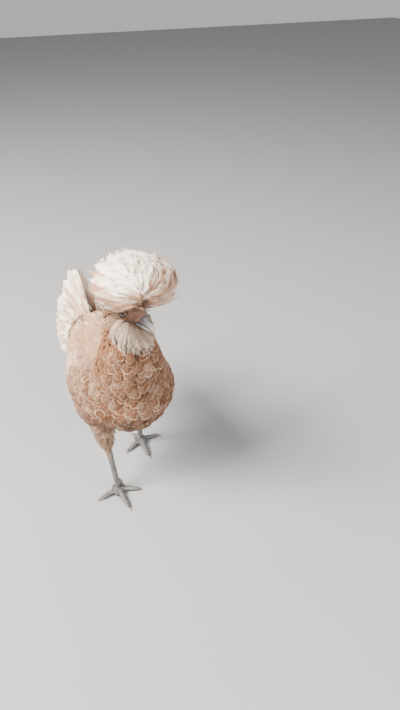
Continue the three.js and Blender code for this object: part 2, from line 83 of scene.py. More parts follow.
# The folded wing on that line: shares where its shoulder and rear lie, the degrees that its middle line
# climbs from front to rear, and how far its edges lie from that line
WING_FRONT = 0.84
WING_REAR = 0.05
WING_CLIMB = (-3.0, 14.0)
WING_SPREAD = 30.0

# Height where the skin turns from thigh to leg, half the height that this takes, and the lowest body feather
HOCK_HEIGHT = 82 * MM
HOCK_BLEND = 6 * MM
BELLY_HEIGHT = 133 * MM

# Grain of the meshes that the CAD nodes are copied to
WRAP_VOXEL = 2.2 * MM
BILL_VOXEL = 0.4 * MM
CLAW_VOXEL = 0.35 * MM

# Distances between the roots of small feathers
HACKLE_SPACING = 3.6 * MM
THIGH_SPACING = 2.9 * MM
VENT_SPACING = 4.2 * MM
FACE_SPACING = 1.45 * MM

# Size of one feather on the baking map, which is 1 wide, and places tried for each one that is kept
BAKE_PATCH = 0.003
TRIES_PER_PLACE = 7

EYE_RADIUS = 5.3 * MM
BODY_FEATHER_WIDTH = 13.8 * MM

# The crest's middle from the skull, its half width, half length and height, and how far it hangs, in mm
CREST_MIDDLE = (0, 9, 40)
CREST_HALF = np.array([50.0, 49.0, 30.0])
CREST_HANG = 46.0
CREST_LOCKS = 320

# Ways tried over the whole ball for each crest feather, because the face and neck side stays free
CREST_SPARE = 1.45

FILL_SHARE = 0.24
LAMP_TARGET = (0.0, 0.0, 0.2)

# Camera: place in the same millimetres, heading and slope in degrees, focal length in image pixels
CAMERA_PLACE = (-157.7, -592.1, 680.0)
CAMERA_HEADING = 26.0
CAMERA_SLOPE = 36.7
CAMERA_FOCAL = 536.0
IMAGE_LONG_SIDE = 710
SENSOR = 36.0


def place(x, y, z):
    """A place in metres, from millimetres measured before the bird was centred."""
    return (np.array([x, y, z], float) - ORIGIN) * MM


# Vector helpers on rows of points


def unit(v):
    return v / np.maximum(np.linalg.norm(v, axis=-1, keepdims=True), 1e-12)


def along(v, axis):
    """The dot product, row by row."""
    return np.sum(v * axis, axis=-1, keepdims=True)


def flat_to(v, normal):
    """What is left of v across the normal, at unit length."""
    return unit(v - normal * along(v, normal))


def smoothstep(low, high, x):
    t = np.clip((x - low) / (high - low), 0, 1)
    return t * t * (3 - 2 * t)


def mix(a, b, t):
    return a + (b - a) * t


def turned(degrees, axis):
    return Matrix.Rotation(math.radians(degrees), 3, axis)


# The skull's frame, and the crest's, which turns with the skull and stays level
HEAD_AXES = np.array(turned(SKULL_TURN, "Z") @ turned(SKULL_NOD, "X"))
CREST_AXES = np.array(turned(SKULL_TURN, "Z"))
HEAD_PLACE = place(*SKULL_PLACE)


def on_head(side, forward, up):
    """A place in the skull's own frame, in millimetres to its left, ahead and up."""
    return HEAD_PLACE + HEAD_AXES @ (np.array([side, -forward, up], float) * MM)


def head_way(side, forward, up):
    """A direction in the skull's own frame."""
    return HEAD_AXES @ np.array([side, -forward, up], float)


def in_head(points):
    """The points in the skull's own frame, in millimetres to its left, back and up."""
    return (points - HEAD_PLACE) @ HEAD_AXES / MM


# Sizes and colours that a user may change


def length_setting(name, description, default):
    return FloatProperty(name=name, description=description, default=default, unit="LENGTH")


def colour_setting(name, description, default):
    return FloatVectorProperty(name=name, description=description, default=default, subtype="COLOR")


class HenSizes(bpy.types.PropertyGroup):
    skin_voxel: length_setting("Skin grain", "Size of the skin's first mesh", 0.0013)
    coat_depth: length_setting("Coat depth", "Depth of the body plumage", 0.0075)
    body_length: length_setting("Body feather", "Length of a breast feather", 0.023)
    body_spacing: length_setting("Body spacing", "Distance between breast feathers", 0.0053)
    hackle_length: length_setting("Hackle feather", "Length of a neck feather", 0.026)
    crest_count: IntProperty(
        name="Crest feathers", description="Feathers in each layer of the crest", default=1500, min=10
    )
    beard_count: IntProperty(
        name="Beard feathers", description="Number of beard feathers", default=2000, min=10
    )


class HenColours(bpy.types.PropertyGroup):
    rust: colour_setting("Rust", "Centre of the breast feathers", (0.095, 0.031, 0.011))
    buff: colour_setting("Buff", "Skin under the plumage, and roots of the tail", (0.235, 0.105, 0.05))
    cream: colour_setting("Cream", "Edge of the body feathers", (0.47, 0.32, 0.2))
    down: colour_setting("Down", "Fluff at the feather roots", (0.2, 0.125, 0.078))
    white: colour_setting("White", "Crest and tail", (0.97, 0.87, 0.74))
    tan: colour_setting("Tan", "Shaded streaks of the crest", (0.4, 0.21, 0.12))
    grey: colour_setting("Grey", "Beard", (0.25, 0.17, 0.115))
    face: colour_setting("Face", "Bare skin of the face", (0.27, 0.095, 0.07))
    leg: colour_setting("Leg", "Scaled skin of the legs", (0.055, 0.051, 0.048))
    horn: colour_setting("Horn", "Points of bill and claws", (0.36, 0.31, 0.28))
    iris: colour_setting("Iris", "Ring of the eye", (0.1, 0.026, 0.008))


class HenStage(bpy.types.PropertyGroup):
    floor_size: length_setting("Floor", "Half the width of the floor", 6.0)
    floor_colour: colour_setting("Floor colour", "Pale floor", (0.29, 0.283, 0.277))
    key_power: FloatProperty(
        name="Key light", description="Strength of the main light", default=290.0, unit="POWER"
    )
    sky: FloatProperty(name="Sky", description="Strength of the light from all round", default=0.55)


# Materials


class Shader:
    """A few words for building a node material."""

    def __init__(self, name):
        self.material = bpy.data.materials.new(name)
        self.material.use_nodes = True
        self.tree = self.material.node_tree
        self.bsdf = self.tree.nodes["Principled BSDF"]

    def node(self, kind, **sockets):
        made = self.tree.nodes.new(kind)
        for name, value in sockets.items():
            self.feed(made, name, value)
        return made

    def feed(self, node, name, value):
        """Links or sets the input of that name, where i0 is the first input."""
        socket = node.inputs[int(name[1:]) if name[0] == "i" and name[1:].isdigit() else name]
        if isinstance(value, bpy.types.NodeSocket):
            self.tree.links.new(value, socket)
        elif isinstance(value, (tuple, list, np.ndarray)) or hasattr(value, "r"):
            value = tuple(value)
            full = len(socket.default_value)
            socket.default_value = value + (1.0,) if full == 4 and len(value) == 3 else value
        else:
            socket.default_value = value

    def maths(self, operation, a, b):
        node = self.node("ShaderNodeMath", i0=a, i1=b)
        node.operation = operation
        return node.outputs[0]

    def times(self, a, b):
        return self.maths("MULTIPLY", a, b)

    def step(self, value, low, high, out_low=0.0, out_high=1.0):
        node = self.node("ShaderNodeMapRange", Value=value)
        node.interpolation_type = "SMOOTHSTEP"
        limits = {"From Min": low, "From Max": high, "To Min": out_low, "To Max": out_high}
        for name, number in limits.items():
            node.inputs[name].default_value = number
        return node.outputs["Result"]

    def blend(self, a, b, share, kind="MIX"):
        node = self.node("ShaderNodeMix")
        node.data_type = "RGBA"
        node.blend_type = kind
        for socket, value in (("i0", share), ("i6", a), ("i7", b)):
            self.feed(node, socket, value)
        return node.outputs[2]

    def noise(self, vector, scale, detail):
        return self.node("ShaderNodeTexNoise", Vector=vector, Scale=scale, Detail=detail).outputs[0]

    def spot(self):
        return self.node("ShaderNodeTexCoord").outputs["Object"]

    def split(self, vector):
        return self.node("ShaderNodeSeparateXYZ", Vector=vector).outputs

    def tint(self):
        node = self.node("ShaderNodeAttribute")
        node.attribute_name = "Tint"
        return self.node("ShaderNodeSeparateColor", Color=node.outputs["Color"]).outputs

    def dimmed(self, colour, light):
        """The colour times a brightness that is a socket."""
        shade = self.node("ShaderNodeCombineXYZ", X=light, Y=light, Z=light)
        return self.blend(colour, shade.outputs[0], 1.0, "MULTIPLY")

    def bump(self, height, strength, distance):
        node = self.node("ShaderNodeBump", Height=height, Strength=strength, Distance=distance)
        self.feed(self.bsdf, "Normal", node.outputs["Normal"])

    def done(self, colour, roughness, **constants):
        self.feed(self.bsdf, "Base Color", colour)
        self.feed(self.bsdf, "Roughness", roughness)
        for name, value in constants.items():
            self.bsdf.inputs[name.replace("_", " ")].default_value = value
        return self.material


def plumage(name, centre, pale, edge, root, lace, streak, downy=(0.18, 0.42)):
    """Feathers: a coloured centre, a paler rim, downy roots and fine barb lines.

    Vane holds how far out from the shaft a point is, and how far along it. Tint holds the
    feather's own paleness, brightness and seed. lace says from where to where the rim's colour
    comes in, downy does so for the vane past the down, and streak is the depth of the barb lines.
    """
    s = Shader(name)
    vane = s.node("ShaderNodeUVMap")
    vane.uv_map = "Vane"
    out, far = s.split(vane.outputs["UV"])[0:2]
    paleness, light, seed = s.tint()[0:3]
    swept = s.maths("SUBTRACT", far, s.times(out, 0.16))
    barb = s.node("ShaderNodeCombineXYZ", X=s.times(out, 1.6), Y=s.times(swept, 30.0), Z=s.times(seed, 90.0))
    lines = s.noise(barb.outputs[0], 1.0, 3.0)
    blotch = s.maths("SUBTRACT", s.noise(s.spot(), 110.0, 3.0), 0.5)
    wide = s.times(out, s.step(far, 0.6, 1.0, 0.66, 1.0))
    nearest = s.maths("MAXIMUM", wide, s.step(far, 0.78, 0.99, 0.0, 0.98))
    rim = s.maths("ADD", nearest, s.times(blotch, 0.6))
    body = s.blend(centre, pale, paleness)
    laced = s.blend(body, edge, s.times(s.step(rim, *lace), s.step(seed, 0.0, 1.0, 0.3, 1.0)))
    rooted = s.blend(s.blend(root, pale, s.times(paleness, 0.7)), laced, s.step(far, *downy))
    shaft = s.blend(rooted, edge, s.step(out, 0.1, 0.02, 0.0, 0.18))
    bright = s.times(light, s.maths("ADD", s.times(lines, 2 * streak), 1 - streak))
    s.bump(lines, strength=0.35, distance=0.6 * MM)
    lined = s.dimmed(shaft, bright)
    return s.done(lined, 0.78, Sheen_Weight=0.03, Sheen_Roughness=0.6, Specular_IOR_Level=0.12)


def hide(colours):
    """Skin: scaled on the legs, bare and pink on the face, and the coat's own colours elsewhere."""
    s = Shader("Skin")
    leg, face, paleness = s.tint()[0:3]
    where = s.spot()
    mottle = s.noise(where, 160.0, 4.0)
    coat = s.blend(s.blend(colours.down, colours.buff, mottle), colours.cream, paleness)
    cells = s.node("ShaderNodeTexVoronoi", Vector=where, Scale=620.0)
    scaled = s.blend(colours.leg, (0.05, 0.045, 0.04), s.step(mottle, 0.45, 0.8, 0.0, 0.6))
    pink = s.blend(colours.face, (0.3, 0.12, 0.09), s.step(mottle, 0.4, 0.7, 0.0, 0.7))
    colour = s.blend(s.blend(coat, pink, face), scaled, leg)
    s.bump(s.maths("ADD", cells.outputs["Distance"], mottle), strength=0.35, distance=0.6 * MM)
    return s.done(colour, s.step(mottle, 0.2, 0.8, 0.5, 0.75), Specular_IOR_Level=0.4)


def scale_plate(colours):
    """Scutes: slate-grey horn with fine wear, each plate of its own paleness and brightness."""
    s = Shader("Scute")
    paleness, light, _ = s.tint()[0:3]
    wear = s.noise(s.spot(), 300.0, 5.0)
    base = s.blend(colours.leg, (0.19, 0.18, 0.168), s.times(paleness, wear))
    s.bump(wear, strength=0.25, distance=0.4 * MM)
    return s.done(s.dimmed(base, light), s.step(wear, 0.2, 0.8, 0.38, 0.6))


def horn(colours):
    """Bill and claws: horn that is pink at the root, grey in the middle and pale at the point."""
    s = Shader("Horn")
    far = s.tint()[0]
    grain = s.noise(s.spot(), 420.0, 4.0)
    root = s.blend((0.2, 0.105, 0.085), (0.15, 0.09, 0.075), grain)
    middle = s.blend(root, (0.145, 0.125, 0.13), s.step(far, 0.12, 0.36))
    tip = s.blend(colours.horn, (0.55, 0.51, 0.46), grain)
    s.bump(grain, strength=0.2, distance=0.3 * MM)
    colour = s.blend(middle, tip, s.step(far, 0.42, 0.85))
    return s.done(colour, s.step(grain, 0.2, 0.8, 0.28, 0.45), Specular_IOR_Level=0.5)


def eye_glass(colours):
    """Eye: black pupil, reddish iris with fine rays and a dark outer ring, under a wet surface."""
    s = Shader("Eye")
    out, turn, _ = s.tint()[0:3]
    rays = s.node("ShaderNodeCombineXYZ", X=s.times(turn, 60.0), Y=s.times(out, 3.0))
    fine = s.noise(rays.outputs[0], 1.0, 3.0)
    ring = s.blend(colours.iris, (0.18, 0.06, 0.016), s.times(fine, 0.8))
    seen = s.blend((0.004, 0.003, 0.003), ring, s.step(out, 0.26, 0.29))
    rimmed = s.blend(seen, (0.05, 0.02, 0.015), s.step(out, 0.38, 0.46))
    return s.done(rimmed, 0.08, Coat_Weight=1.0, Coat_Roughness=0.03)


def lid_skin(name):
    """Lids: brown folds with a rim that is nearly black."""
    s = Shader(name)
    grain = s.noise(s.spot(), 700.0, 4.0)
    s.bump(grain, strength=0.4, distance=0.3 * MM)
    folds = s.blend((0.12, 0.06, 0.038), (0.2, 0.11, 0.07), grain)
    colour = s.blend((0.022, 0.014, 0.011), folds, s.step(s.tint()[0], 0.05, 0.3))
    return s.done(colour, 0.6, Specular_IOR_Level=0.2)


# Meshes


def linked(name, data):
    """A new object in the scene."""
    made = bpy.data.objects.new(name, data)
    bpy.context.scene.collection.objects.link(made)
    return made


def new_piece(name, points, faces, material, uvs=None, tint=None):
    """A mesh object from arrays. uvs maps a layer name to one pair for each point."""
    mesh = bpy.data.meshes.new(name)
    points = np.asarray(points, np.float32)
    faces = np.asarray(faces, np.int32)
    sides = faces.shape[1]
    mesh.vertices.add(len(points))
    mesh.vertices.foreach_set("co", points.ravel())
    mesh.loops.add(faces.size)
    mesh.loops.foreach_set("vertex_index", faces.ravel())
    mesh.polygons.add(len(faces))
    mesh.polygons.foreach_set("loop_start", np.arange(0, faces.size, sides, dtype=np.int32))
    shade_smooth(mesh)
    mesh.update(calc_edges=True)
    for layer, pairs in (uvs or {}).items():
        data = mesh.uv_layers.new(name=layer)
        data.data.foreach_set("uv", np.asarray(pairs, np.float32)[faces.ravel()].ravel())
    if tint is not None:
        give_tint(mesh, tint)
    mesh.materials.append(material)
    mesh.validate()
    return linked(name, mesh)


def shade_smooth(mesh):
    mesh.polygons.foreach_set("use_smooth", np.full(len(mesh.polygons), True))


def give_tint(mesh, tint):
    colours = np.ones((len(mesh.vertices), 4), np.float32)
    colours[:, :3] = tint
    layer = mesh.color_attributes.new("Tint", "FLOAT_COLOR", "POINT")
    layer.data.foreach_set("color", colours.ravel())


def coordinates(mesh):
    points = np.zeros(len(mesh.vertices) * 3, np.float32)
    mesh.vertices.foreach_get("co", points)
    return points.reshape(-1, 3).astype(float)


def normals_of(mesh):
    normals = np.zeros(len(mesh.vertices) * 3, np.float32)
    mesh.vertex_normals.foreach_get("vector", normals)
    return normals.reshape(-1, 3).astype(float)


def set_coordinates(mesh, points):
    mesh.vertices.foreach_set("co", np.asarray(points, np.float32).ravel())
    mesh.update()


def triangles_of(mesh):
    mesh.calc_loop_triangles()
    corners = np.zeros(len(mesh.loop_triangles) * 3, np.int32)
    mesh.loop_triangles.foreach_get("vertices", corners)
    return corners.reshape(-1, 3)


def edges_of(mesh):
    pairs = np.zeros(len(mesh.edges) * 2, np.int32)
    mesh.edges.foreach_get("vertices", pairs)
    return pairs.reshape(-1, 2)


def relaxed(points, pairs, weight, rounds):
    """Each point moves towards the middle of its neighbours by its weight, again and again."""
    a, b = pairs.T
    size = len(points)
    count = np.maximum(np.bincount(pairs.ravel(), minlength=size), 1)[:, None]
    weight = np.broadcast_to(np.reshape(weight, (-1, 1)), (size, 1))
    for _ in range(rounds):
        columns = [
            np.bincount(a, points[b, i], size) + np.bincount(b, points[a, i], size) for i in range(3)
        ]
        points = points + weight * (np.stack(columns, 1) / count - points)
    return points


def cad_mesh(*names):
    """The named CAD nodes' meshes as one new mesh."""
    points, faces, start = [], [], 0
    for name in names:
        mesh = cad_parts[name].data
        own = coordinates(mesh)
        points.append(own)
        faces.append(triangles_of(mesh) + start)
        start += len(own)
    return np.concatenate(points), np.concatenate(faces)


def remeshed(name, points, faces, voxel, keep=1.0):
    """A closed, even mesh round the given closed surfaces, thinned to a share of its faces."""
    source = new_piece(name + "_source", points, faces, bpy.data.materials.new(name + "_source"))
    voxels = source.modifiers.new("Voxels", "REMESH")
    voxels.mode = "VOXEL"
    voxels.voxel_size = voxel
    if keep < 1:
        thinner = source.modifiers.new("Thinner", "DECIMATE")
        thinner.ratio = keep
    seen = source.evaluated_get(bpy.context.evaluated_depsgraph_get())
    mesh = bpy.data.meshes.new_from_object(seen)
    mesh.name = name
    bpy.data.objects.remove(source)
    mesh.materials.clear()
    return mesh


class Surface:
    """A surface that answers where its nearest point is, and which way is out there."""

    def __init__(self, mesh):
        self.points = coordinates(mesh)
        self.normals = normals_of(mesh)
        self.faces = triangles_of(mesh)
        self.tree = BVHTree.FromPolygons(self.points.tolist(), self.faces.tolist())
        a, b, c = (self.points[self.faces[:, i]] for i in range(3))
        self.areas = np.linalg.norm(np.cross(b - a, c - a), axis=1) / 2

    def nearest(self, wanted):
        """The nearest points on the surface and the smooth normals there."""
        found = [self.tree.find_nearest(Vector(p)) for p in wanted]
        spots = np.array([f[0] for f in found])
        corners = self.faces[[f[2] for f in found]]
        gaps = np.linalg.norm(self.points[corners] - spots[:, None], axis=2) + 1e-9
        weights = (1 / gaps)[:, :, None]
        return spots, unit(np.sum(self.normals[corners] * weights, axis=1))

    def scatter(self, dice, allowed, spacing, grain=None):
        """Points spread over the faces whose middles are allowed.

        They keep the given distance, times what grain says of the place.
        """
        middles = self.points[self.faces].mean(1)
        areas = self.areas * allowed(middles)
        total = int(TRIES_PER_PLACE * areas.sum() / spacing**2)
        chosen = dice.choice(len(areas), size=total, p=areas / areas.sum())
        a, b = dice.random((2, total))
        turned = a + b > 1
        a, b = np.where(turned, 1 - a, a), np.where(turned, 1 - b, b)
        corners = self.points[self.faces[chosen]]
        spots = corners[:, 0] + a[:, None] * (corners[:, 1] - corners[:, 0])
        spots += b[:, None] * (corners[:, 2] - corners[:, 0])
        kept = spread_out(spots, spacing * (grain(spots) if grain else np.ones(total)))
        normals = self.normals[self.faces[chosen]].mean(1)
        return spots[kept], unit(normals[kept])


def spread_out(spots, gaps):
    """The places in the list that stay when each keeps its gap from those before it."""
    taken, kept = {}, []
    cells = np.floor(spots / gaps.max()).astype(int)
    near = [(i, j, k) for i in (-1, 0, 1) for j in (-1, 0, 1) for k in (-1, 0, 1)]
    for index, (cell, spot, gap) in enumerate(zip(cells.tolist(), spots, gaps)):
        around = (taken.get((cell[0] + i, cell[1] + j, cell[2] + k)) for i, j, k in near)
        if any(np.sum((spot - other) ** 2) < gap**2 for group in around if group for other in group):
            continue
        taken.setdefault(tuple(cell), []).append(spot)
        kept.append(index)
    return kept


# Feathers


def vane_template(pairs, widest, pointed, gap, sweep):
    """One feather laid flat: barbs from shaft to rim, in shares of its length and half width.

    Gives each point's place along and across, how far out it is from shaft to rim, which barb
    it belongs to, and the faces.
    """
    step = np.arange(pairs + 1) / pairs
    shaft = 0.03 + 0.9 * step
    rim = 0.1 + 0.9 * (1 - (1 - step) ** 1.6)
    rise = np.sin(np.pi / 2 * np.minimum(rim / widest, 1)) ** 0.55
    fall = np.clip((rim - widest) / (1 - widest), 0, 1)
    half = rise * (1 - fall ** mix(2.0, 1.3, pointed)) ** mix(0.5, 1.0, pointed)
    rim = rim + sweep * half
    rows, faces = [], []
    for side in (-1, 1):
        for k in range(pairs):
            first = len(rows)
            for out, split in ((0.0, 0.0), (0.55, 0.25), (1.0, 1.0)):
                for a, b in ((k, k + 1), (k + 1, k)):
                    share = split * gap * 0.5
                    x = mix(mix(shaft[a], rim[a], out), mix(shaft[b], rim[b], out), share)
                    y = out * mix(half[a], half[b], share)
                    rows.append((x, side * y, out, side * (k + 1)))
            for low in (first, first + 2):
                quad = [low, low + 1, low + 3, low + 2]
                faces.append(quad if side > 0 else quad[::-1])
    return np.array(rows), np.array(faces)


def carried(stations, x):
    """Points at shares x of a smooth curve through evenly spaced stations."""
    count = stations.shape[1]
    even = np.arange(count) / (count - 1)
    weights = np.ones((*x.shape, count))
    for j in range(count):
        for k in range(count):
            if k != j:
                weights[..., j] *= (x - even[k]) / (even[j] - even[k])
    return np.einsum("cxn,cnd->cxd", weights, stations)


class Coat:
    """Feathers gathered for one piece, then made as one mesh."""

    def __init__(self, name, seed):
        self.name = name
        self.dice = np.random.default_rng(seed)
        self.points, self.faces, self.vane, self.tint = [], [], [], []
        self.roots, self.outward, self.local = [], [], []
        self.start = 0

    def lay(self, stations, outward, width, template, tone, ragged, waver, cup=0.12, light=1.0):
        """Feathers whose shafts pass through stations. outward is the way that each one's face looks.

        cup bends the vane down towards its rim. ragged and waver give each tuft of barbs its own
        length and its own height off the vane.
        """
        rows, faces = template
        dice = self.dice
        stations = np.stack(stations, 1)
        count, size = len(stations), len(rows)
        width = np.broadcast_to(np.reshape(width, (-1, 1)), (count, 1))
        barbs = rows[:, 3].astype(int)
        out = rows[:, 2]
        lengths = 1 + ragged * (dice.random((count, 2 * np.abs(barbs).max() + 2)) - 0.75)
        waves = waver * (dice.random(lengths.shape) - 0.4)
        grown = mix(1.0, lengths[:, barbs], out)
        x = rows[:, 0] * mix(1.0, grown, 0.35 * out)
        y = (rows[:, 1] * grown)[:, :, None]
        line = carried(stations, x)
        way = unit(carried(stations, x + 0.02) - carried(stations, x - 0.02))
        across = unit(np.cross(outward[:, None], way))
        up = np.cross(way, across)
        long = np.linalg.norm(stations[:, -1] - stations[:, 0], axis=1)[:, None, None]
        height = -cup * y**2 * width[:, None] + (waves[:, barbs] * out)[:, :, None] * long
        points = line + across * y * width[:, None] * 0.5 + up * height
        self.points.append(points.reshape(-1, 3))
        self.faces.append((faces[None] + size * np.arange(count)[:, None, None]).reshape(-1, 4) + self.start)
        self.start += size * count
        self.vane.append(np.tile(rows[:, [2, 0]], (count, 1)))
        tone = np.clip(np.broadcast_to(np.reshape(tone, (-1, 1)), (count, 1)), 0, 1)
        light = np.broadcast_to(np.reshape(light, (-1, 1)), (count, 1))
        own = np.concatenate([tone, light * dice.uniform(0.86, 1.1, (count, 1)), dice.random((count, 1))], 1)
        self.tint.append(np.repeat(own, size, axis=0))
        self.roots.append(np.repeat(stations[:, 0], size, axis=0))
        self.outward.append(np.repeat(np.broadcast_to(outward, (count, 3)), size, axis=0))
        self.local.append(np.tile(rows[:, :2] * [1.0, 0.5] - [0.5, 0.0], (count, 1)))

    def make(self, material, slot, replaced=(), soft=0.0):
        """One mesh of all the feathers. soft turns their shading towards the way that each looks."""
        points = np.concatenate(self.points)
        bake = unwrap(np.concatenate(self.roots)) + BAKE_PATCH * np.concatenate(self.local)
        uvs = {"OFBake": bake, "Vane": np.concatenate(self.vane)}
        tint = np.concatenate(self.tint)
        piece = new_piece(self.name, points, np.concatenate(self.faces), material, uvs, tint)
        if soft:
            blended = mix(normals_of(piece.data), np.concatenate(self.outward), soft)
            piece.data.normals_split_custom_set_from_vertices(unit(blended).tolist())
        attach(piece, "root")
        if replaced:
            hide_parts(*replaced)
        return piece


def unwrap(roots):
    """The skin laid flat: turn round the body's own line across, and length along that line up."""
    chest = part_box("torso")
    middle = (np.array(chest[0]) + np.array(chest[1])) / 2
    ahead = middle[1] - roots[:, 1]
    rise = roots[:, 2] - middle[2]
    turn = np.arctan2(roots[:, 0] - middle[0], 0.6 * rise - 0.4 * ahead + 1e-6)
    far = ahead + 1.2 * rise
    flat = np.stack([turn, far], 1)
    low, high = flat.min(0), flat.max(0)
    return 0.01 + 0.98 * (flat - low) / np.maximum(high - low, 1e-6)


# The skin

# Surfaces that feathers are laid on: the skin, and the wrap round it for the outer feathers
BUILT = {}


def skin_regions(points):
    """How much of the leg and of the head there is at each point, from 0 to 1."""
    leg = smoothstep(HOCK_HEIGHT + HOCK_BLEND, HOCK_HEIGHT - HOCK_BLEND, points[:, 2])
    away = (in_head(points) - [0, -8, 0]) / [1.0, 1.1, 1.0]
    head = smoothstep(46, 30, np.linalg.norm(away, axis=1))
    return leg, head


def face_share(points):
    """How much of the face there is at each point: cheeks, brow and chin, but not the nape."""
    own = in_head(points)
    ahead = -own[:, 1] - 0.25 * own[:, 2]
    near = np.linalg.norm(own / [1.0, 1.2, 1.0], axis=1)
    return smoothstep(-14, -6, ahead) * smoothstep(38, 30, near)


def coat_depth(points, sizes):
    """How far the skin lies under the solid's surface, so that the feathers fill the rest."""
    leg, head = skin_regions(points)
    thigh = smoothstep(0.15, 0.085, points[:, 2])
    depth = mix(sizes.coat_depth, 1.6 * MM, thigh)
    return depth * (1 - leg) * (1 - head)


def build_skin(sizes, colours):
    """One closed skin over body, neck, head and legs, sunk under the coat where feathers lie."""
    flesh = ["torso", "neck", "head", "thigh_r", "thigh_l"]
    for name in SIDES:
        flesh += [f"shank_{name}", f"foot_{name}", *(f"toe_{toe}_{name}" for toe in TOES)]
    mesh = remeshed("skin", *cad_mesh(*flesh), sizes.skin_voxel, keep=0.45)
    points = coordinates(mesh)
    pairs = edges_of(mesh)
    leg, head = skin_regions(points)
    firm = smoothstep(0.14, 0.12, points[:, 2])
    points = relaxed(points, pairs, mix(0.6, 0.15, firm) * (1 - np.maximum(leg, head)), 24)
    points = relaxed(points, pairs, 0.5, 3)
    set_coordinates(mesh, points)
    points = points - normals_of(mesh) * coat_depth(points, sizes)[:, None]
    points = relaxed(points, pairs, 0.5 * (1 - np.maximum(leg, head)), 8)
    set_coordinates(mesh, points)
    shade_smooth(mesh)
    leg, _ = skin_regions(points)
    from_bill = (in_head(points) - [0, -22, -3]) / [1.0, 1.1, 0.8]
    bare = smoothstep(22, 12, np.linalg.norm(from_bill, axis=1))
    pale = 0.5 * smoothstep(0.15, 0.08, points[:, 2])
    give_tint(mesh, np.stack([leg, bare, pale], 1))
    mesh.materials.append(hide(colours))
    skin = linked("skin", mesh)
    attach(skin, "root")
    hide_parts(*flesh)
    return skin


def build_wrap(sizes):
    """The surface that the outer feathers lie on: body, neck and thighs, swollen over the folded wings."""
    mesh = remeshed("wrap", *cad_mesh("torso", "neck", "head", "thigh_r", "thigh_l"), WRAP_VOXEL)
    points, pairs = coordinates(mesh), edges_of(mesh)
    leg, head = skin_regions(points)
    loose = 1 - np.maximum(leg, head)
    firm = smoothstep(0.14, 0.12, points[:, 2])
    set_coordinates(mesh, relaxed(points, pairs, mix(0.6, 0.15, firm) * loose, 22))
    points = coordinates(mesh)
    swell = wing_top(*wing_place(points)) * MM * smoothstep(0.02, 0.04, np.abs(points[:, 0]))
    points = points + normals_of(mesh) * (swell - coat_depth(points, sizes))[:, None]
    set_coordinates(mesh, relaxed(points, pairs, 0.5 * loose, 10))
    return Surface(mesh)


def body_share(points):
    """How far along the body each point is, from rump to crop."""
    return (RUMP[1] - (points[:, 1] / MM + ORIGIN[1])) / (RUMP[1] - CROP[1])


def lie_of(points, normals):
    """The way that feathers point: down the neck and breast, then back along the body."""
    x, y, z = points.T
    t = np.clip(body_share(points), 0, 1.15)[:, None]
    body = BACK + UP * mix(0.75, -1.0, t)
    spread = np.stack([0.5 * x / 0.07, 0 * x, 0 * x], 1)
    neck = np.array([0, 0.25, -1.0]) + spread
    high = smoothstep(0.2, 0.26, z)[:, None] * smoothstep(0.03, -0.01, y)[:, None]
    thigh = smoothstep(0.135, 0.115, z)[:, None]
    way = mix(mix(body, neck, high), np.array([0, 0.15, -1.0]), thigh)
    return flat_to(way, normals)


def lay_on(skin, coat, roots, normals, lies, length, width, rise, template, **looks):
    """Feathers that follow a surface. Their tips stand off it by rise, and their middles a little less.

    length, width and rise are one number, or one for each root.
    """
    dice = coat.dice
    count = len(roots)
    length = np.reshape(length, (-1, 1)) * dice.uniform(0.88, 1.12, (count, 1))
    yaw = dice.normal(0, 0.09, (count, 1))
    across = np.cross(normals, lies)
    ways = unit(lies + across * yaw)
    middle, mid_out = skin.nearest(roots + ways * length * 0.5)
    tip, tip_out = skin.nearest(roots + ways * length)
    rise = np.reshape(rise, (-1, 1)) * dice.uniform(0.75, 1.15, (count, 1))
    stations = (roots - normals * 0.8 * MM, middle + mid_out * rise * 0.84, tip + tip_out * rise)
    tilt = across * dice.normal(0, 0.1, (count, 1))
    width = np.reshape(width, (-1, 1)) * dice.uniform(0.88, 1.12, (count, 1))
    coat.lay(stations, unit(mid_out + tilt), width, template, **looks)


def wing_place(points):
    """Where points lie on the folded wing's own grid: how far back, and how high from edge to edge."""
    t = body_share(points)
    far = (WING_FRONT - t) / (WING_FRONT - WING_REAR)
    t = np.clip(t, 0.03, 0.97)
    level = 0 * t
    crown = flank(1, t, level + math.pi / 2, level)
    keel = flank(1, t, level - math.pi / 2, level)
    middle = (crown + keel) / 2
    top = crown - middle
    wide = np.abs(flank(1, t, level, level)[:, 0] - middle[:, 0])
    away = points - middle
    up = along(away, unit(top))[:, 0] / np.linalg.norm(top, axis=1)
    side = np.abs(away[:, 0]) / wide
    climb = (np.degrees(np.arctan2(up, side)) - mix(*WING_CLIMB, far)) / WING_SPREAD
    return far, climb


def flight_area(points):
    """Where the long wing feathers lie bare, from 0 to 1."""
    far, climb = wing_place(points)
    return smoothstep(0.56, 0.63, far) * smoothstep(1.05, 0.98, far) * smoothstep(1.0, 0.85, np.abs(climb))


def shoulder_area(points):
    """Where small scale feathers cover the wing's front, from 0 to 1."""
    far, climb = wing_place(points)
    return smoothstep(-0.1, 0.05, far) * smoothstep(0.8, 0.66, far) * smoothstep(1.5, 1.1, np.abs(climb))


def body_grain(points):
    """Feather size over the body: large on the breast, small on the wing's front."""
    _, y, z = points.T
    breast = smoothstep(-0.04, -0.1, y) * smoothstep(0.25, 0.2, z)
    return mix(mix(0.85, 1.12, breast), 0.72, shoulder_area(points))


def parted(points):
    """Where feathers have parted and show the pale down under them, from 0 to 1."""
    breast = [(-46, -98, 226), (-18, -124, 247), (5, -118, 281), (-24, -112, 262), (30, -120, 232)]
    spots = np.array([*breast, (-60, 30, 205)]) * MM
    away = np.linalg.norm(points[:, None] - spots, axis=2).min(1)
    return smoothstep(14 * MM, 6 * MM, away)


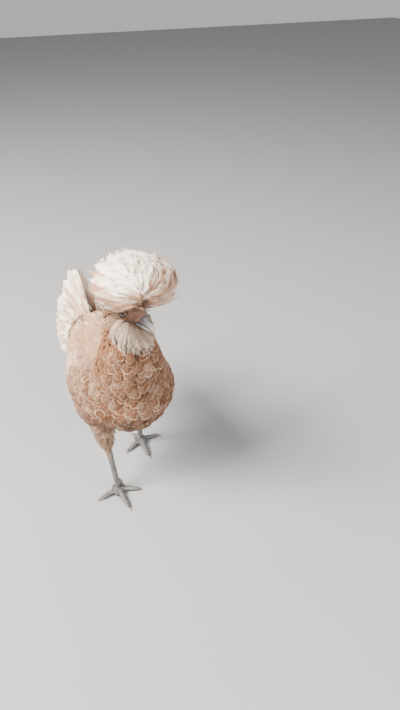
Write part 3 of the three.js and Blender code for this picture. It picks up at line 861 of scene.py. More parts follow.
def body_tone(points):
    """How pale a body feather is: rust on the breast, buff towards thigh and rump, palest on the back."""
    x, y, z = points.T
    side = smoothstep(-0.09, -0.03, y) * smoothstep(0.15, 0.2, z)
    back = smoothstep(-0.05, 0.0, y) * smoothstep(0.19, 0.25, z)
    rear = smoothstep(0.02, 0.09, y)
    thigh = smoothstep(0.165, 0.14, z) * smoothstep(-0.075, -0.05, y)
    patch = np.sin(150 * x + 60 * z) * np.sin(95 * z - 50 * y + 1) * np.sin(110 * y + 70 * x)
    tone = 0.02 + 0.09 * side + 0.55 * back + 0.15 * rear + 0.2 * thigh + 0.14 * np.maximum(patch, 0)
    return np.clip(tone, 0, 1)


def build_body(sizes, colours):
    """Breast, back, flank and belly feathers, laced with cream."""
    wrap = BUILT["wrap"]
    material = plumage(
        "Body_feather", centre=colours.rust, pale=(0.64, 0.44, 0.31), edge=colours.cream,
        root=colours.down, lace=(0.5, 0.85), streak=0.5,
    )
    template = vane_template(pairs=14, widest=0.7, pointed=0.05, gap=0.24, sweep=0.05)
    halves = {"front": (-1.0, -0.03), "back": (-0.03, 1.0)}
    for seed, (name, (low, high)) in enumerate(halves.items()):
        coat = Coat("body_" + name, 100 + seed)

        def allowed(p):
            leg, _ = skin_regions(p)
            inside = (p[:, 1] > low) & (p[:, 1] <= high) & (p[:, 2] > BELLY_HEIGHT)
            bare = np.maximum(leg, np.maximum(face_share(p), flight_area(p)))
            return inside * (1 - bare) * (1 - smoothstep(0.4, 0.6, hackle_share(p)))

        roots, normals = wrap.scatter(coat.dice, allowed, sizes.body_spacing, body_grain)
        size = body_grain(roots) * coat.dice.uniform(0.86, 1.18, len(roots))
        lies = unit(lie_of(roots, normals) + coat.dice.normal(0, 0.11, roots.shape))
        rear = smoothstep(0.03, 0.09, roots[:, 1])
        lay_on(
            wrap, coat, roots, normals, lies, sizes.body_length * size * (1 + 0.3 * rear),
            width=BODY_FEATHER_WIDTH * size, rise=sizes.coat_depth * 0.95, template=template,
            tone=body_tone(roots) * coat.dice.uniform(0.6, 1.4, len(roots)) + 0.16 * parted(roots)
            + coat.dice.exponential(0.035, len(roots)),
            light=coat.dice.uniform(0.78, 1.12, (len(roots), 1)), ragged=0.22, waver=0.03,
        )
        coat.make(material, "buff_feather")


def hackle_share(points):
    """How much of the neck there is at each point."""
    x, y, z = points.T
    throat = smoothstep(0.045, 0.015, np.abs(x)) * smoothstep(-0.08, -0.11, y)
    base = 0.252 - 0.65 * np.maximum(y + 0.06, 0) + 0.07 * throat
    return smoothstep(base - 0.012, base + 0.012, z) * smoothstep(0.055, 0.03, y)


def build_hackle(sizes, colours):
    """Neck feathers: narrow, pointed and overlapping, rust in front and pale towards the back."""
    wrap = BUILT["wrap"]
    coat = Coat("hackle", 7)
    material = plumage(
        "Hackle_feather", centre=(0.135, 0.044, 0.015), pale=(0.54, 0.34, 0.21), edge=(0.43, 0.27, 0.15),
        root=colours.down, lace=(0.55, 0.9), streak=0.6,
    )

    def allowed(p):
        return hackle_share(p) * (face_share(p) < 0.5)

    roots, normals = wrap.scatter(coat.dice, allowed, HACKLE_SPACING)
    high = smoothstep(0.24, 0.34, roots[:, 2])
    near = smoothstep(0.065, 0.035, np.linalg.norm(roots - HEAD_PLACE, axis=1))
    size = mix(1.0, 0.66, near)
    shoulder = smoothstep(0.252, 0.236, roots[:, 2]) * smoothstep(-0.055, -0.025, roots[:, 1])
    back = np.maximum(0.6 * smoothstep(-0.012, 0.03, roots[:, 1]), 0.5 * shoulder)
    lay_on(
        wrap, coat, roots, normals, lie_of(roots, normals), sizes.hackle_length * mix(1.0, 0.6, high) * size,
        width=mix(9.0, 6.2, high) * MM * size, rise=mix(6.6, 4.2, high) * MM,
        template=vane_template(pairs=10, widest=0.7, pointed=0.3, gap=0.25, sweep=0.06),
        tone=0.06 * high + back + coat.dice.exponential(0.04, len(roots)), ragged=0.28, waver=0.03,
    )
    coat.make(material, "buff_feather")


def build_thighs(sizes, colours):
    """Soft, loose feathers that hide each thigh down to the hock, and the fluff under the tail."""
    skin, wrap = BUILT["surface"], BUILT["wrap"]
    material = plumage(
        "Fluff", centre=(0.15, 0.082, 0.043), pale=(0.26, 0.165, 0.1), edge=(0.34, 0.23, 0.145),
        root=colours.down, lace=(0.4, 0.9), streak=0.5,
    )
    plume = vane_template(pairs=7, widest=0.55, pointed=0.7, gap=0.5, sweep=0.14)

    def thigh(p):
        leg, _ = skin_regions(p)
        return (p[:, 2] < 0.142) * (1 - leg)

    coat = Coat("thigh_feathers", 17)
    roots, normals = skin.scatter(coat.dice, thigh, THIGH_SPACING)
    low = smoothstep(0.125, 0.085, roots[:, 2])
    lay_on(
        skin, coat, roots, normals, lie_of(roots, normals), mix(22, 11, low) * MM,
        width=mix(5.5, 3.6, low) * MM, rise=mix(6.0, 1.8, low) * MM, template=plume,
        tone=0.65 + coat.dice.normal(0, 0.16, len(roots)), ragged=0.4, waver=0.03,
    )
    coat.make(material, "cream_feather", soft=0.5)

    def vent(p):
        _, y, z = p.T
        return smoothstep(0.05, 0.066, y) * smoothstep(0.236, 0.226, z)

    coat = Coat("vent_fluff", 18)
    roots, normals = wrap.scatter(coat.dice, vent, VENT_SPACING)
    lay_on(
        wrap, coat, roots, normals, lie_of(roots, normals), 24 * MM,
        width=8.5 * MM, rise=10.5 * MM, template=plume,
        tone=0.65 + coat.dice.normal(0, 0.22, len(roots)), ragged=0.4, waver=0.05,
    )
    coat.make(material, "cream_feather", soft=0.5)


# Wings


def flank(mirror, t, climb, lift):
    """A place on the flank: t from rump to crop, climb up the side in radians, lift off it in mm."""
    rump, sag, crop = place(*RUMP), place(*SAG), place(*CROP)
    t = np.asarray(t, float)[..., None]
    climb = np.asarray(climb, float)[..., None]
    lift = np.asarray(lift, float)[..., None]
    middle = rump * (1 - t) ** 2 + sag * 2 * t * (1 - t) + crop * t**2
    ahead = unit((sag - rump) * (1 - t) + (crop - sag) * t)
    up = np.stack([0 * t[..., 0], ahead[..., 2], -ahead[..., 1]], -1)
    full = np.sin(np.arccos(1 - 2 * t)) ** 0.86
    size = 0.86 + 0.2 * t
    wide, tall = BODY_HALF_WIDTH * size * full, BODY_HALF_HEIGHT * size * full
    side = (wide + lift) * np.cos(climb) * mirror * MM
    return middle + LEFT * side + up * (tall + lift) * np.sin(climb) * MM


def wing_top(far, climb):
    """How high the folded wing stands off the flank, in millimetres."""
    front = smoothstep(-0.14, 0.2, far)
    rear = mix(1.0, 0.6, smoothstep(0.5, 1.0, far))
    return 10.0 * front * rear * smoothstep(1.6, 0.7, np.abs(climb))


def wing_spot(mirror, far, climb, lift):
    """A place on the folded wing: far from shoulder to rear, climb from lower to upper edge."""
    t = np.clip(mix(WING_FRONT, WING_REAR, far), 0.02, 0.98)
    middle = mix(*WING_CLIMB, far)
    return flank(mirror, t, np.radians(middle + climb * WING_SPREAD), lift)


def wing_row(coat, mirror, begin, finish, low, high, stand, width, template, **looks):
    """Feathers from place begin to place finish along the wing, and from climb low to climb high."""
    dice = coat.dice
    count = len(begin)
    begin = begin + dice.normal(0, 0.004, count)
    finish = finish + dice.normal(0, 0.006, count)
    low = low + dice.normal(0, 0.01, count)
    high = high + dice.normal(0, 0.02, count)
    stations = []
    for share, more in ((0.0, -3.5), (0.5, stand * 0.75), (1.0, stand)):
        far, climb = mix(begin, finish, share), mix(low, high, share)
        stations.append(wing_spot(mirror, far, climb, wing_top(far, climb) + more))
    far, climb = (begin + finish) / 2, (low + high) / 2
    outward = unit(wing_spot(mirror, far, climb, 60 + 0 * far) - wing_spot(mirror, far, climb, 0 * far))
    coat.lay(stations, outward, width, template, **looks)


def build_wings(sizes, colours):
    """Folded wings: two tiers of flights and one of coverts. Body feathers cover the shoulder."""
    material = plumage(
        "Wing_feather", centre=(0.19, 0.09, 0.045), pale=(0.6, 0.43, 0.33), edge=(0.46, 0.32, 0.22),
        root=colours.down, lace=(0.55, 0.88), streak=0.45,
    )
    flight = vane_template(pairs=20, widest=0.8, pointed=0.25, gap=0.08, sweep=0.05)
    covert = vane_template(pairs=13, widest=0.72, pointed=0.1, gap=0.16, sweep=0.05)
    # Count, where roots lie, where the lowest and highest tips lie, how far roots and tips fan out,
    # how high the tips stand in millimetres, width in millimetres, kind of feather, raggedness
    tiers = (
        (12, 0.46, (0.86, 1.03), (0.8, 0.6), -2.8, 17.5, flight, 0.05),
        (10, 0.44, (0.74, 0.9), (0.88, 0.74), -1.6, 16.5, flight, 0.08),
        (9, 0.42, (0.62, 0.76), (0.92, 0.86), -0.4, 17.0, covert, 0.14),
    )
    for name, mirror in SIDES.items():
        coat = Coat("wing_feathers_" + name, 40 + mirror)
        dice = coat.dice
        for count, start, ends, (root_fan, tip_fan), stand, width, template, ragged in tiers:
            rank = (np.arange(count) + 0.5) / count
            end = mix(*ends, rank) + dice.normal(0, 0.014, count)
            fan = 2 * rank - 1
            height = stand + 1.2 * rank - 3.5 * smoothstep(0.75, 1, rank)
            wing_row(
                coat, mirror, start + 0 * rank, end, fan * root_fan, fan * tip_fan, height,
                width=width * MM, template=template,
                tone=dice.uniform(0, 0.35, count) + 0.6 * rank**2, ragged=ragged, waver=0.012,
            )
        coat.make(material, "buff_feather", ["wing_" + name], soft=0.3)


# Tail


def build_tail(sizes, colours):
    """Tail: a tent of two rows of flight feathers, with three rows of soft coverts over their roots."""
    material = plumage(
        "Tail_feather", centre=(0.44, 0.28, 0.18), pale=colours.white, edge=colours.white,
        root=colours.buff, lace=(0.55, 1.25), streak=0.5, downy=(0.1, 0.7),
    )
    coat = Coat("tail_feathers", 53)
    dice = coat.dice
    base = place(0, 104, 233)
    flight = vane_template(pairs=20, widest=0.72, pointed=0.3, gap=0.1, sweep=0.05)
    soft = vane_template(pairs=13, widest=0.55, pointed=0.75, gap=0.4, sweep=0.08)
    # Feathers on each side, then from the top one to the lowest: rise, swing, length and width. Then how
    # far the roots drop, how high they stand, kind of feather, raggedness and paleness. Degrees and mm
    rows = (
        (15, (54, -36), (2, 40), (83, 69), (16, 18), 34, 0.0, flight, 0.04, 0.3),
        (13, (56, -30), (3, 43), (78, 64), (13, 15), 30, 1.8, flight, 0.06, 0.3),
        (16, (60, -32), (7, 50), (62, 54), (11, 12), 28, 3.8, soft, 0.2, 0.3),
        (17, (64, -40), (9, 60), (46, 42), (10, 11), 26, 5.4, soft, 0.2, 0.2),
        (18, (74, -50), (10, 74), (32, 33), (10, 11), 24, 6.8, soft, 0.3, 0.1),
    )
    for count, rises, swings, longs, wides, drop, stand, template, ragged, tone in rows:
        for mirror in (-1, 1):
            down = np.arange(count) / (count - 1)
            rise = np.radians(mix(*rises, down) + dice.normal(0, 1.5, count))
            swing = mirror * np.radians(mix(*swings, down) + dice.normal(0, 1.5, count)) - math.radians(8)
            way = np.stack([np.sin(swing) * np.cos(rise), np.cos(swing) * np.cos(rise), np.sin(rise)], 1)
            out = unit(np.stack([mirror * mix(0.8, 1, down), 0 * down - 0.35, mix(0.7, 0.2, down)], 1))
            root = base + np.stack([mirror * mix(2, 10, down), 0 * down, -drop * down], 1) * MM
            root = root + out * ((stand - 4.0 * down) * MM)[:, None]
            long = (mix(*longs, down) * dice.uniform(0.95, 1.04, count) * MM)[:, None]
            stations = (root, root + way * long * 0.5 + out * long * 0.035, root + way * long)
            coat.lay(
                stations, out, mix(*wides, down) * MM, template,
                tone=tone + dice.normal(0, 0.28, count), ragged=ragged, waver=0.01, cup=0.1,
            )
    coat.make(material, "cream_feather", ["tail"], soft=0.3)


# Eyes, bill, claws and scutes


def ring_faces(rows, around):
    """Quads between rows of points that each go once round."""
    faces = []
    for row in range(0, (rows - 1) * around, around):
        for k in range(around):
            here, beside = row + k, row + (k + 1) % around
            faces.append((here, here + around, beside + around, beside))
    return faces


def eye_frame(mirror):
    """The eye's middle, the way that it looks and its way up."""
    middle = on_head(mirror * 13.2, 9, 2)
    look = unit(head_way(mirror * 1.0, 0.22, 0.02))
    up = flat_to(head_way(0, 0.15, 1.0), look)
    return middle, look, up


def build_eyes(sizes, colours):
    """Eyeballs with a bulging cornea, tinted from the pupil outwards, and their lids."""
    material = eye_glass(colours)
    rings, around = 24, 40
    for name, mirror in SIDES.items():
        middle, look, up = eye_frame(mirror)
        side = np.cross(up, look)
        points, tint = [], []
        for i in range(rings + 1):
            polar = math.pi * i / rings
            for k in range(around):
                turn = 2 * math.pi * k / around
                flat = math.cos(turn) * side + math.sin(turn) * up
                bulge = 1 + 0.05 * math.exp(-((polar / 0.45) ** 2))
                points.append(middle + EYE_RADIUS * bulge * (math.cos(polar) * look + math.sin(polar) * flat))
                tint.append((min(1.0, polar / math.pi * 2), k / around, 0.0))
        faces = ring_faces(rings + 1, around)
        eye = new_piece("eyeball_" + name, points, faces, material, tint=np.array(tint))
        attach(eye, "root")
        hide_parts("eye_" + name)
        build_lids(name, middle, look, side, up)


def build_lids(name, middle, look, side, up):
    """Upper and lower lid: one ring round an almond opening, with a rolled rim and fine folds."""
    around = 72
    # Height over the eye, in eye radii, at shares of the way from the rim out to the cheek
    knots = (0.0, 0.02, 0.1, 0.25, 0.42, 0.6, 0.8, 1.0)
    heights = (0.94, 1.09, 1.17, 1.15, 1.19, 1.13, 1.07, 0.9)
    shares = np.concatenate([[0.0, 0.01, 0.02, 0.05], np.linspace(0.08, 1.0, 24)])
    points, tint = [], []
    for share in shares:
        reach = np.interp(share, knots, heights)
        for k in range(around):
            turn = 2 * math.pi * k / around
            tint.append((share, 0.0, 0.0))
            wide, tall = 0.86, 0.4 if math.sin(turn) > 0 else 0.44
            opening = 1 / math.hypot(math.cos(turn) / wide, math.sin(turn) / tall)
            polar = mix(opening, 1.5, share)
            crease = math.sin(11 * math.pi * share + 0.8 * math.sin(3 * turn)) + 0.5 * math.sin(31 * turn)
            fold = 1 + 0.014 * crease * smoothstep(0.05, 0.3, share)
            flat = math.cos(turn) * side + math.sin(turn) * up
            way = math.cos(polar) * look + math.sin(polar) * flat
            points.append(middle + EYE_RADIUS * reach * fold * way)
    faces = ring_faces(len(shares), around)
    lids = new_piece("lids_" + name, points, faces, lid_skin("Lid_" + name), tint=np.array(tint))
    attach(lids, "root")


def smooth_horn(node, voxel, rounds, material, far):
    """A finer copy of a CAD node in horn. far gives how far along it points are, which is kept as tint."""
    mesh = remeshed(node + "_horn", *cad_mesh(node), voxel)
    points = relaxed(coordinates(mesh), edges_of(mesh), 0.5, rounds)
    set_coordinates(mesh, points)
    shade_smooth(mesh)
    share = far(points)
    share = (share - share.min()) / (share.max() - share.min())
    give_tint(mesh, np.stack([share, 0 * share + 1, 0 * share], 1))
    mesh.materials.append(material)
    piece = linked(node + "_horn", mesh)
    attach(piece, "root")
    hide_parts(node)


def build_bill(sizes, colours):
    """Both halves of the bill, tinted from root to point."""
    material = horn(colours)
    ahead = head_way(0, 1, -0.3)
    for half in ("upper", "lower"):
        smooth_horn("bill_" + half, BILL_VOXEL, 6, material, lambda p: p @ ahead)


def build_claws(sizes, colours):
    """Eight claws, tinted from the toe to their point."""
    material = horn(colours)
    for name in SIDES:
        foot = np.array(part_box("foot_" + name)).mean(0)[:2]
        for toe in TOES:
            smooth_horn(
                f"claw_{toe}_{name}", CLAW_VOXEL, 3, material,
                lambda p: np.linalg.norm(p[:, :2] - foot, axis=1),
            )


class Plates:
    """Scutes gathered for one leg, then made as one mesh."""

    def __init__(self, seed):
        self.dice = np.random.default_rng(seed)
        self.points, self.faces, self.tint = [], [], []

    def lay(self, spots, outs, ways, long, wide):
        """Low domed plates over the skin, each sunk at its rim and raised a little towards its end."""
        side = 5
        corners = [side * i + j for i in range(side - 1) for j in range(side - 1)]
        faces = np.array([(k, k + side, k + side + 1, k + 1) for k in corners])
        u, v = np.array([(i, j) for i in range(side) for j in range(side)]).T / 2 - 1
        dome = 0.5 - np.maximum(np.abs(u) ** 4, np.abs(v) ** 4)
        for spot, out, way, b in zip(spots, outs, ways, wide):
            across = np.cross(out, way)
            flat = way * (long * u * 0.5)[:, None] + across * (b * v * 0.5)[:, None]
            curve = -0.5 * (b * v * 0.5) ** 2 / (b * 0.62)
            self.faces.append(faces + side**2 * len(self.points))
            self.points.append(spot + flat + out * (dome * 0.7 * MM + curve + 0.3 * MM * u)[:, None])
            shade = 0.85 + 0.3 * self.dice.random()
            self.tint.append(np.tile([0.3 + 0.7 * self.dice.random(), shade, 0.0], (side**2, 1)))

    def make(self, name, material):
        parts = (np.concatenate(rows) for rows in (self.points, self.faces))
        return new_piece(name, *parts, material, tint=np.concatenate(self.tint))


def lay_shank_plates(plates, skin, node):
    """Three lines of plates down the front of the shank, the middle one half a plate lower."""
    points = cad_mesh(node)[0]
    end = 6 * MM
    top = points[points[:, 2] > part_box(node)[1][2] - end].mean(0)
    bottom = points[points[:, 2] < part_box(node)[0][2] + end].mean(0)
    rows = 17
    for turn in (-0.75, 0.0, 0.75):
        share = (np.arange(rows) + 0.5 + 0.5 * (turn == 0)) / (rows + 0.5)
        line = bottom + (top - bottom) * share[:, None]
        ahead = np.array([math.sin(turn), -math.cos(turn), 0.0])
        spots, outs = skin.nearest(line + ahead * 6 * MM)
        ways = flat_to(np.tile(bottom - top, (rows, 1)), outs)
        plates.lay(spots, outs, ways, 5.6 * MM, np.full(rows, 4.6 * MM))


def lay_toe_plates(plates, skin, foot, claw):
    """One line of plates over a toe, from the foot's middle towards the claw."""
    flat = (claw - foot) * [1, 1, 0]
    rows = int(np.linalg.norm(flat) / (3.3 * MM))
    share = np.linspace(0.16, 0.93, rows)
    spots, _ = skin.nearest(foot * [1, 1, 0] + flat * share[:, None] + UP * 12 * MM)
    outs = np.tile(UP, (rows, 1))
    ways = np.tile(unit(flat), (rows, 1))
    plates.lay(spots, outs, ways, 4.2 * MM, mix(8.6, 5.6, share) * MM)


def build_scutes(sizes, colours):
    """Plates down the front of each shank and over each toe."""
    skin = BUILT["surface"]
    material = scale_plate(colours)
    for name, mirror in SIDES.items():
        plates = Plates(70 + mirror)
        lay_shank_plates(plates, skin, "shank_" + name)
        foot = np.array(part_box("foot_" + name)).mean(0)
        for toe in TOES:
            lay_toe_plates(plates, skin, foot, cad_mesh(f"claw_{toe}_{name}")[0].mean(0))
        piece = plates.make("scutes_" + name, material)
        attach(piece, "root")


# Beard, face and crest


def build_face(sizes, colours):
    """Tiny feathers on cheek and brow, leaving the eye's rim and the bill's root bare."""
    skin = BUILT["surface"]
    coat = Coat("face_feathers", 61)
    material = plumage(
        "Face_feather", centre=(0.17, 0.09, 0.05), pale=(0.28, 0.18, 0.115), edge=(0.35, 0.24, 0.16),
        root=colours.down, lace=(0.4, 0.9), streak=0.3,
    )
    eyes = [eye_frame(mirror)[0] for mirror in SIDES.values()]
    bill_root = 30

    def from_eyes(p):
        return np.min([np.linalg.norm(p - eye, axis=1) for eye in eyes], axis=0)

    def allowed(p):
        return (face_share(p) > 0.3) * (from_eyes(p) > 7.8 * MM) * (-in_head(p)[:, 1] < bill_root)

    roots, normals = skin.scatter(coat.dice, allowed, FACE_SPACING)
    away = (in_head(roots) - [0, -bill_root, -6]) @ HEAD_AXES.T
    lies = flat_to(unit(away) + np.array([0, 0.1, -0.35]), normals)
    gaps = [from_eyes(roots + lies * reach * MM) for reach in (3, 6)]
    clear = np.min(gaps, axis=0) > 6.8 * MM
    roots, normals, lies = roots[clear], normals[clear], lies[clear]
    lay_on(
        skin, coat, roots, normals, lies, 5.6 * MM, width=2.1 * MM, rise=1.1 * MM,
        template=vane_template(pairs=4, widest=0.5, pointed=0.8, gap=0.4, sweep=0.25),
        tone=0.5 + coat.dice.normal(0, 0.3, len(roots)), ragged=0.4, waver=0.08,
    )
    coat.make(material, "buff_feather")


def build_beard(sizes, colours):
    """Beard and muffs: soft grey-cream plumes from the cheeks and chin, fanning down and out."""
    coat = Coat("beard_feathers", 23)
    dice = coat.dice
    material = plumage(
        "Beard_feather", centre=colours.grey, pale=(0.38, 0.27, 0.19), edge=(0.58, 0.45, 0.34),
        root=colours.grey, lace=(0.4, 0.95), streak=0.4, downy=(0.0, 0.5),
    )
    count = sizes.beard_count
    # Plumes gather into tufts, so many degrees apart, on either side of the chin
    apart, tufts_aside = 11, 12
    turn = dice.uniform(-apart * tufts_aside, apart * tufts_aside, count)
    tuft = np.round(turn / apart)
    fullness, paleness = dice.normal(0, 1, (2, 2 * tufts_aside + 1))[:, (tuft + tufts_aside).astype(int)]
    turn = np.radians(turn)
    aim = mix(turn, np.radians(tuft * apart + 3 * paleness), 0.62)
    level = dice.random(count)
    front = smoothstep(80, 20, np.degrees(np.abs(turn)))
    top, middle = mix(-9, -18, front), mix(-11, -27, front)
    side, ahead = np.sin(turn), np.cos(turn)
    start = np.stack([12 * side, 15 + 9 * ahead, mix(top, -23, level)], 1)
    bow = np.stack([mix(24, 19, level) * side, 17 + mix(20, 17, level) * ahead, mix(middle, -31, level)], 1)
    side, ahead = np.sin(aim), np.cos(aim)
    end = np.stack([mix(32, 20, level) * side, 19 + mix(30, 23, level) * ahead, mix(-31, -52, level)], 1)
    grown = dice.uniform(0.66, 1.02, count) + 0.14 * fullness
    end = mix(bow, end, grown[:, None]) + dice.normal(0, 0.8, (count, 3))
    stations = [np.array([on_head(*row) for row in rows]) for rows in (start, bow, end)]
    outward = unit(stations[1] - on_head(0, 15, -38) + dice.normal(0, 3 * MM, (count, 3)))
    coat.lay(
        stations, outward, dice.uniform(3.6 * MM, 6 * MM, count),
        vane_template(pairs=7, widest=0.5, pointed=0.8, gap=0.5, sweep=0.2),
        tone=dice.normal(0.5, 0.2, count) + 0.28 * paleness,
        light=dice.uniform(0.75, 1.15, (count, 1)), ragged=0.4, waver=0.05, cup=0.25,
    )
    coat.make(material, "beard_feather", ["beard"], soft=0.5)


def crest_half(up):
    """The crest's half width, half length and reach up or down, for places with that sign of up."""
    half = np.tile(CREST_HALF, (len(up), 1))
    half[:, 2] = np.where(up < 0, CREST_HANG, CREST_HALF[2])
    return half


def on_crest(q, reach):
    """A place for each way q at a share of the crest's outline, in the level frame of the head."""
    return on_head(*CREST_MIDDLE) + (q * crest_half(q[:, 2]) * reach * MM) @ CREST_AXES.T


def crest_shell(points, reach):
    """The points moved out or in to a share of the crest's outline."""
    own = (points - on_head(*CREST_MIDDLE)) @ CREST_AXES / MM
    return on_crest(unit(own / crest_half(own[:, 2])), reach)


def fanned(count):
    """Ways spread evenly over a ball, each a golden turn on from the one before."""
    rank = (np.arange(count) + 0.5) / count
    z = 1 - 2 * rank
    turn = math.pi * (1 + math.sqrt(5)) * np.arange(count)
    ring = np.sqrt(1 - z**2)
    return np.stack([ring * np.sin(turn), -ring * np.cos(turn), z], 1)


def crest_room(q):
    """Whether a plume may end that way: not over the eyes, nor down into the neck."""
    ahead = (-1, -0.7, -0.45, -0.1, 0.3, 0.6, 1)
    lowest = (-0.95, -0.9, -0.55, -0.28, -0.14, -0.16, -0.3)
    return q[:, 2] > np.interp(-q[:, 1], ahead, lowest)


def brow_line(q):
    """Where on the crest's lower front edge the plumes that end at q fan out from.

    They part over the right eye, so that those over the bill come from there too. The far side
    has a parting of its own.
    """
    side = np.clip((q[:, :1] - 0.35) / 0.5, -1, 1)
    side = side * (1.5 - 0.5 * side**2)
    middle = 1 - np.abs(side)
    start = np.concatenate([0.7 * side, -0.71 - 0.2 * middle, -0.12 - 0.55 * middle], 1)
    return on_crest(unit(start), 0.97)


def crest_tone(q, run, streak):
    """How pale a plume is: white on top and behind, tan low and in front, and darker at the parting. The
    white towards the key lamp and the tan away from it are painted light and shade, laid over the crest's own
    tan lower strands.

    run is how far its tip lies from the parting, and streak is its lock's own paleness.
    """
    # Painted light and shade: plumes that face the key lamp, up and behind, are made paler, and the low ones
    # tanner
    painted_light = smoothstep(-0.1, 0.8, q @ unit(np.array([-0.2, 0.4, 0.85])))
    painted_light = painted_light * mix(0.1, 1, smoothstep(0.25, 0.68, q[:, 2]))
    tone = mix(0.16, 1.0, painted_light) + mix(0.4, 0.28, painted_light) * streak
    return tone * mix(0.3, 1, smoothstep(6 * MM, 24 * MM, run))


def build_crest(sizes, colours):
    """Crest: a globe of long soft plumes that fan out from their parting and lie round the head.

    Plumes gather into locks that share their way, length and paleness.
    """
    material = plumage(
        "Crest_feather", centre=colours.tan, pale=colours.white, edge=colours.white,
        root=colours.tan, lace=(0.6, 1.7), streak=0.45, downy=(0.15, 0.9),
    )
    template = vane_template(pairs=12, widest=0.5, pointed=0.8, gap=0.5, sweep=0.2)
    locks = fanned(CREST_LOCKS)
    locks = locks[crest_room(locks)]
    level = CREST_AXES.T
    dice = np.random.default_rng(5)
    streak = dice.normal(0, 1, len(locks))
    longer = dice.normal(0, 0.03, len(locks))
    # Between which shares of the crest's outline the tips of each layer end
    layers = {"crest_inner": (0.62, 0.84), "crest_middle": (0.8, 0.93), "crest_outer": (0.88, 1.0)}
    for seed, (name, (near, out)) in enumerate(layers.items()):
        coat = Coat(name, 11 + seed)
        dice = coat.dice
        q = fanned(int(sizes.crest_count * CREST_SPARE))
        q = unit(q + dice.normal(0, 0.05, q.shape))
        q = q[crest_room(q)]
        count = len(q)
        lock = np.argmax(q @ locks.T, axis=1)
        aim = unit(mix(q, locks[lock], dice.uniform(0.2, 0.7, (count, 1))))
        reach = dice.uniform(near, out, (count, 1)) + longer[lock][:, None]
        back = smoothstep(-0.3, 0.8, q[:, 1:2])
        front = smoothstep(0.2, 0.8, -q[:, 1:2])
        low = smoothstep(0.45, -0.5, q[:, 2:3])
        root = mix(on_head(0, 25, 12), on_head(0, -6, 19), back) + (q * [9, 6, 3] * MM) @ level
        tip = on_crest(aim, reach + np.abs(dice.normal(0, 0.035, (count, 1))))
        normal = unit((aim / CREST_HALF) @ level)
        chord = tip - root
        long = np.linalg.norm(chord, axis=1, keepdims=True)
        high = smoothstep(0.1, 0.65, q[:, 2:3])
        droop = (1 - front) * (16 + 24 * low + 50 * low * back)
        bow = normal * along(chord, normal) * mix(0.12, 0.7, np.maximum(high, back)) + UP * droop * MM
        run = tip - brow_line(q)
        way = flat_to(run, normal)
        run = np.linalg.norm(run, axis=1, keepdims=True)
        flat = smoothstep(6 * MM, 20 * MM, run)
        step = np.minimum(long, 1.25 * run)
        stations = [root]
        # At each third of the plume: how much of a step lies between it and the tip, and how far out it lies
        for t, gap, share in ((1 / 3, 0.62, 0.86), (2 / 3, 0.3, 0.97)):
            arched = mix(root, tip, t) + bow * t * (1 - t)
            stations.append(mix(arched, crest_shell(tip - way * step * gap, reach * share), flat))
        loose = np.abs(dice.normal(0, 1, (count, 1))) + 0.6 * streak[lock][:, None]
        stations.append(tip + normal * loose * mix(1.2, 2.6, high) * MM)
        outward = unit(normal + dice.normal(0, 0.15, (count, 3)))
        coat.lay(
            stations, outward, dice.uniform(3 * MM, 5.5 * MM, count), template,
            tone=crest_tone(q, run[:, 0], streak[lock]) + dice.normal(0, 0.1, count),
            ragged=0.35, waver=0.02, cup=0.3,
        )
        coat.make(material, "crest_feather", ["crest"] if seed == 0 else (), soft=0.6)


# Stage


def build_stage(stage):
    """A pale floor, soft light from all round, two lamps and the camera."""
    size = stage.floor_size
    s = Shader("Floor")
    grain = s.noise(s.spot(), 9.0, 3.0)
    pale = tuple(stage.floor_colour)
    s.done(s.blend(pale, tuple(0.96 * c for c in pale), grain), 0.8)
    corners = [(-size, -size, 0), (size, -size, 0), (size, size, 0), (-size, size, 0)]
    floor = new_piece("floor", corners, [(0, 1, 2, 3)], s.material)
    world = bpy.data.worlds.new("Studio")
    bpy.context.scene.world = world
    world.use_nodes = True
    background = world.node_tree.nodes["Background"]
    background.inputs["Color"].default_value = (0.93, 0.96, 1.0, 1.0)
    background.inputs["Strength"].default_value = stage.sky
    lamp("Key", (-1.5, 0.0, 1.8), power=stage.key_power, size=1.1, colour=(1.0, 0.97, 0.93))
    lamp("Fill", (0.9, -1.7, 1.2), power=stage.key_power * FILL_SHARE, size=1.6, colour=(0.95, 0.97, 1.0))
    camera = bpy.data.cameras.new("Camera")
    camera.sensor_width = SENSOR
    camera.lens = CAMERA_FOCAL / IMAGE_LONG_SIDE * SENSOR
    holder = linked("Camera", camera)
    holder.location = place(*CAMERA_PLACE)
    holder.rotation_euler = (math.radians(90 - CAMERA_SLOPE), 0.0, math.radians(-CAMERA_HEADING))
    bpy.context.scene.camera = holder


def lamp(name, where, power, size, colour):
    """A square lamp that looks at the bird."""
    light = bpy.data.lights.new(name, "AREA")
    light.energy = power
    light.size = size
    light.color = colour
    holder = linked(name, light)
    holder.location = where
    aim = Vector(LAMP_TARGET) - Vector(where)
    holder.rotation_euler = aim.to_track_quat("-Z", "Y").to_euler()


# Operators


def settings(context):
    return context.scene.hen_sizes, context.scene.hen_colours


class HEN_OT_skin(bpy.types.Operator):
    """Make the one skin of body, head and legs"""

    bl_idname = "hen.skin"
    bl_label = "Skin"

    def execute(self, context):
        skin = build_skin(*settings(context))
        BUILT["surface"] = Surface(skin.data)
        BUILT["wrap"] = build_wrap(context.scene.hen_sizes)
        return {"FINISHED"}


class HEN_OT_scutes(bpy.types.Operator):
    """Lay plates on shanks and toes"""

    bl_idname = "hen.scutes"
    bl_label = "Scutes"

    def execute(self, context):
        build_scutes(*settings(context))
        return {"FINISHED"}


class HEN_OT_claws(bpy.types.Operator):
    """Make the eight claws"""

    bl_idname = "hen.claws"
    bl_label = "Claws"

    def execute(self, context):
        build_claws(*settings(context))
        return {"FINISHED"}


class HEN_OT_bill(bpy.types.Operator):
    """Make both halves of the bill"""

    bl_idname = "hen.bill"
    bl_label = "Bill"

    def execute(self, context):
        build_bill(*settings(context))
        return {"FINISHED"}


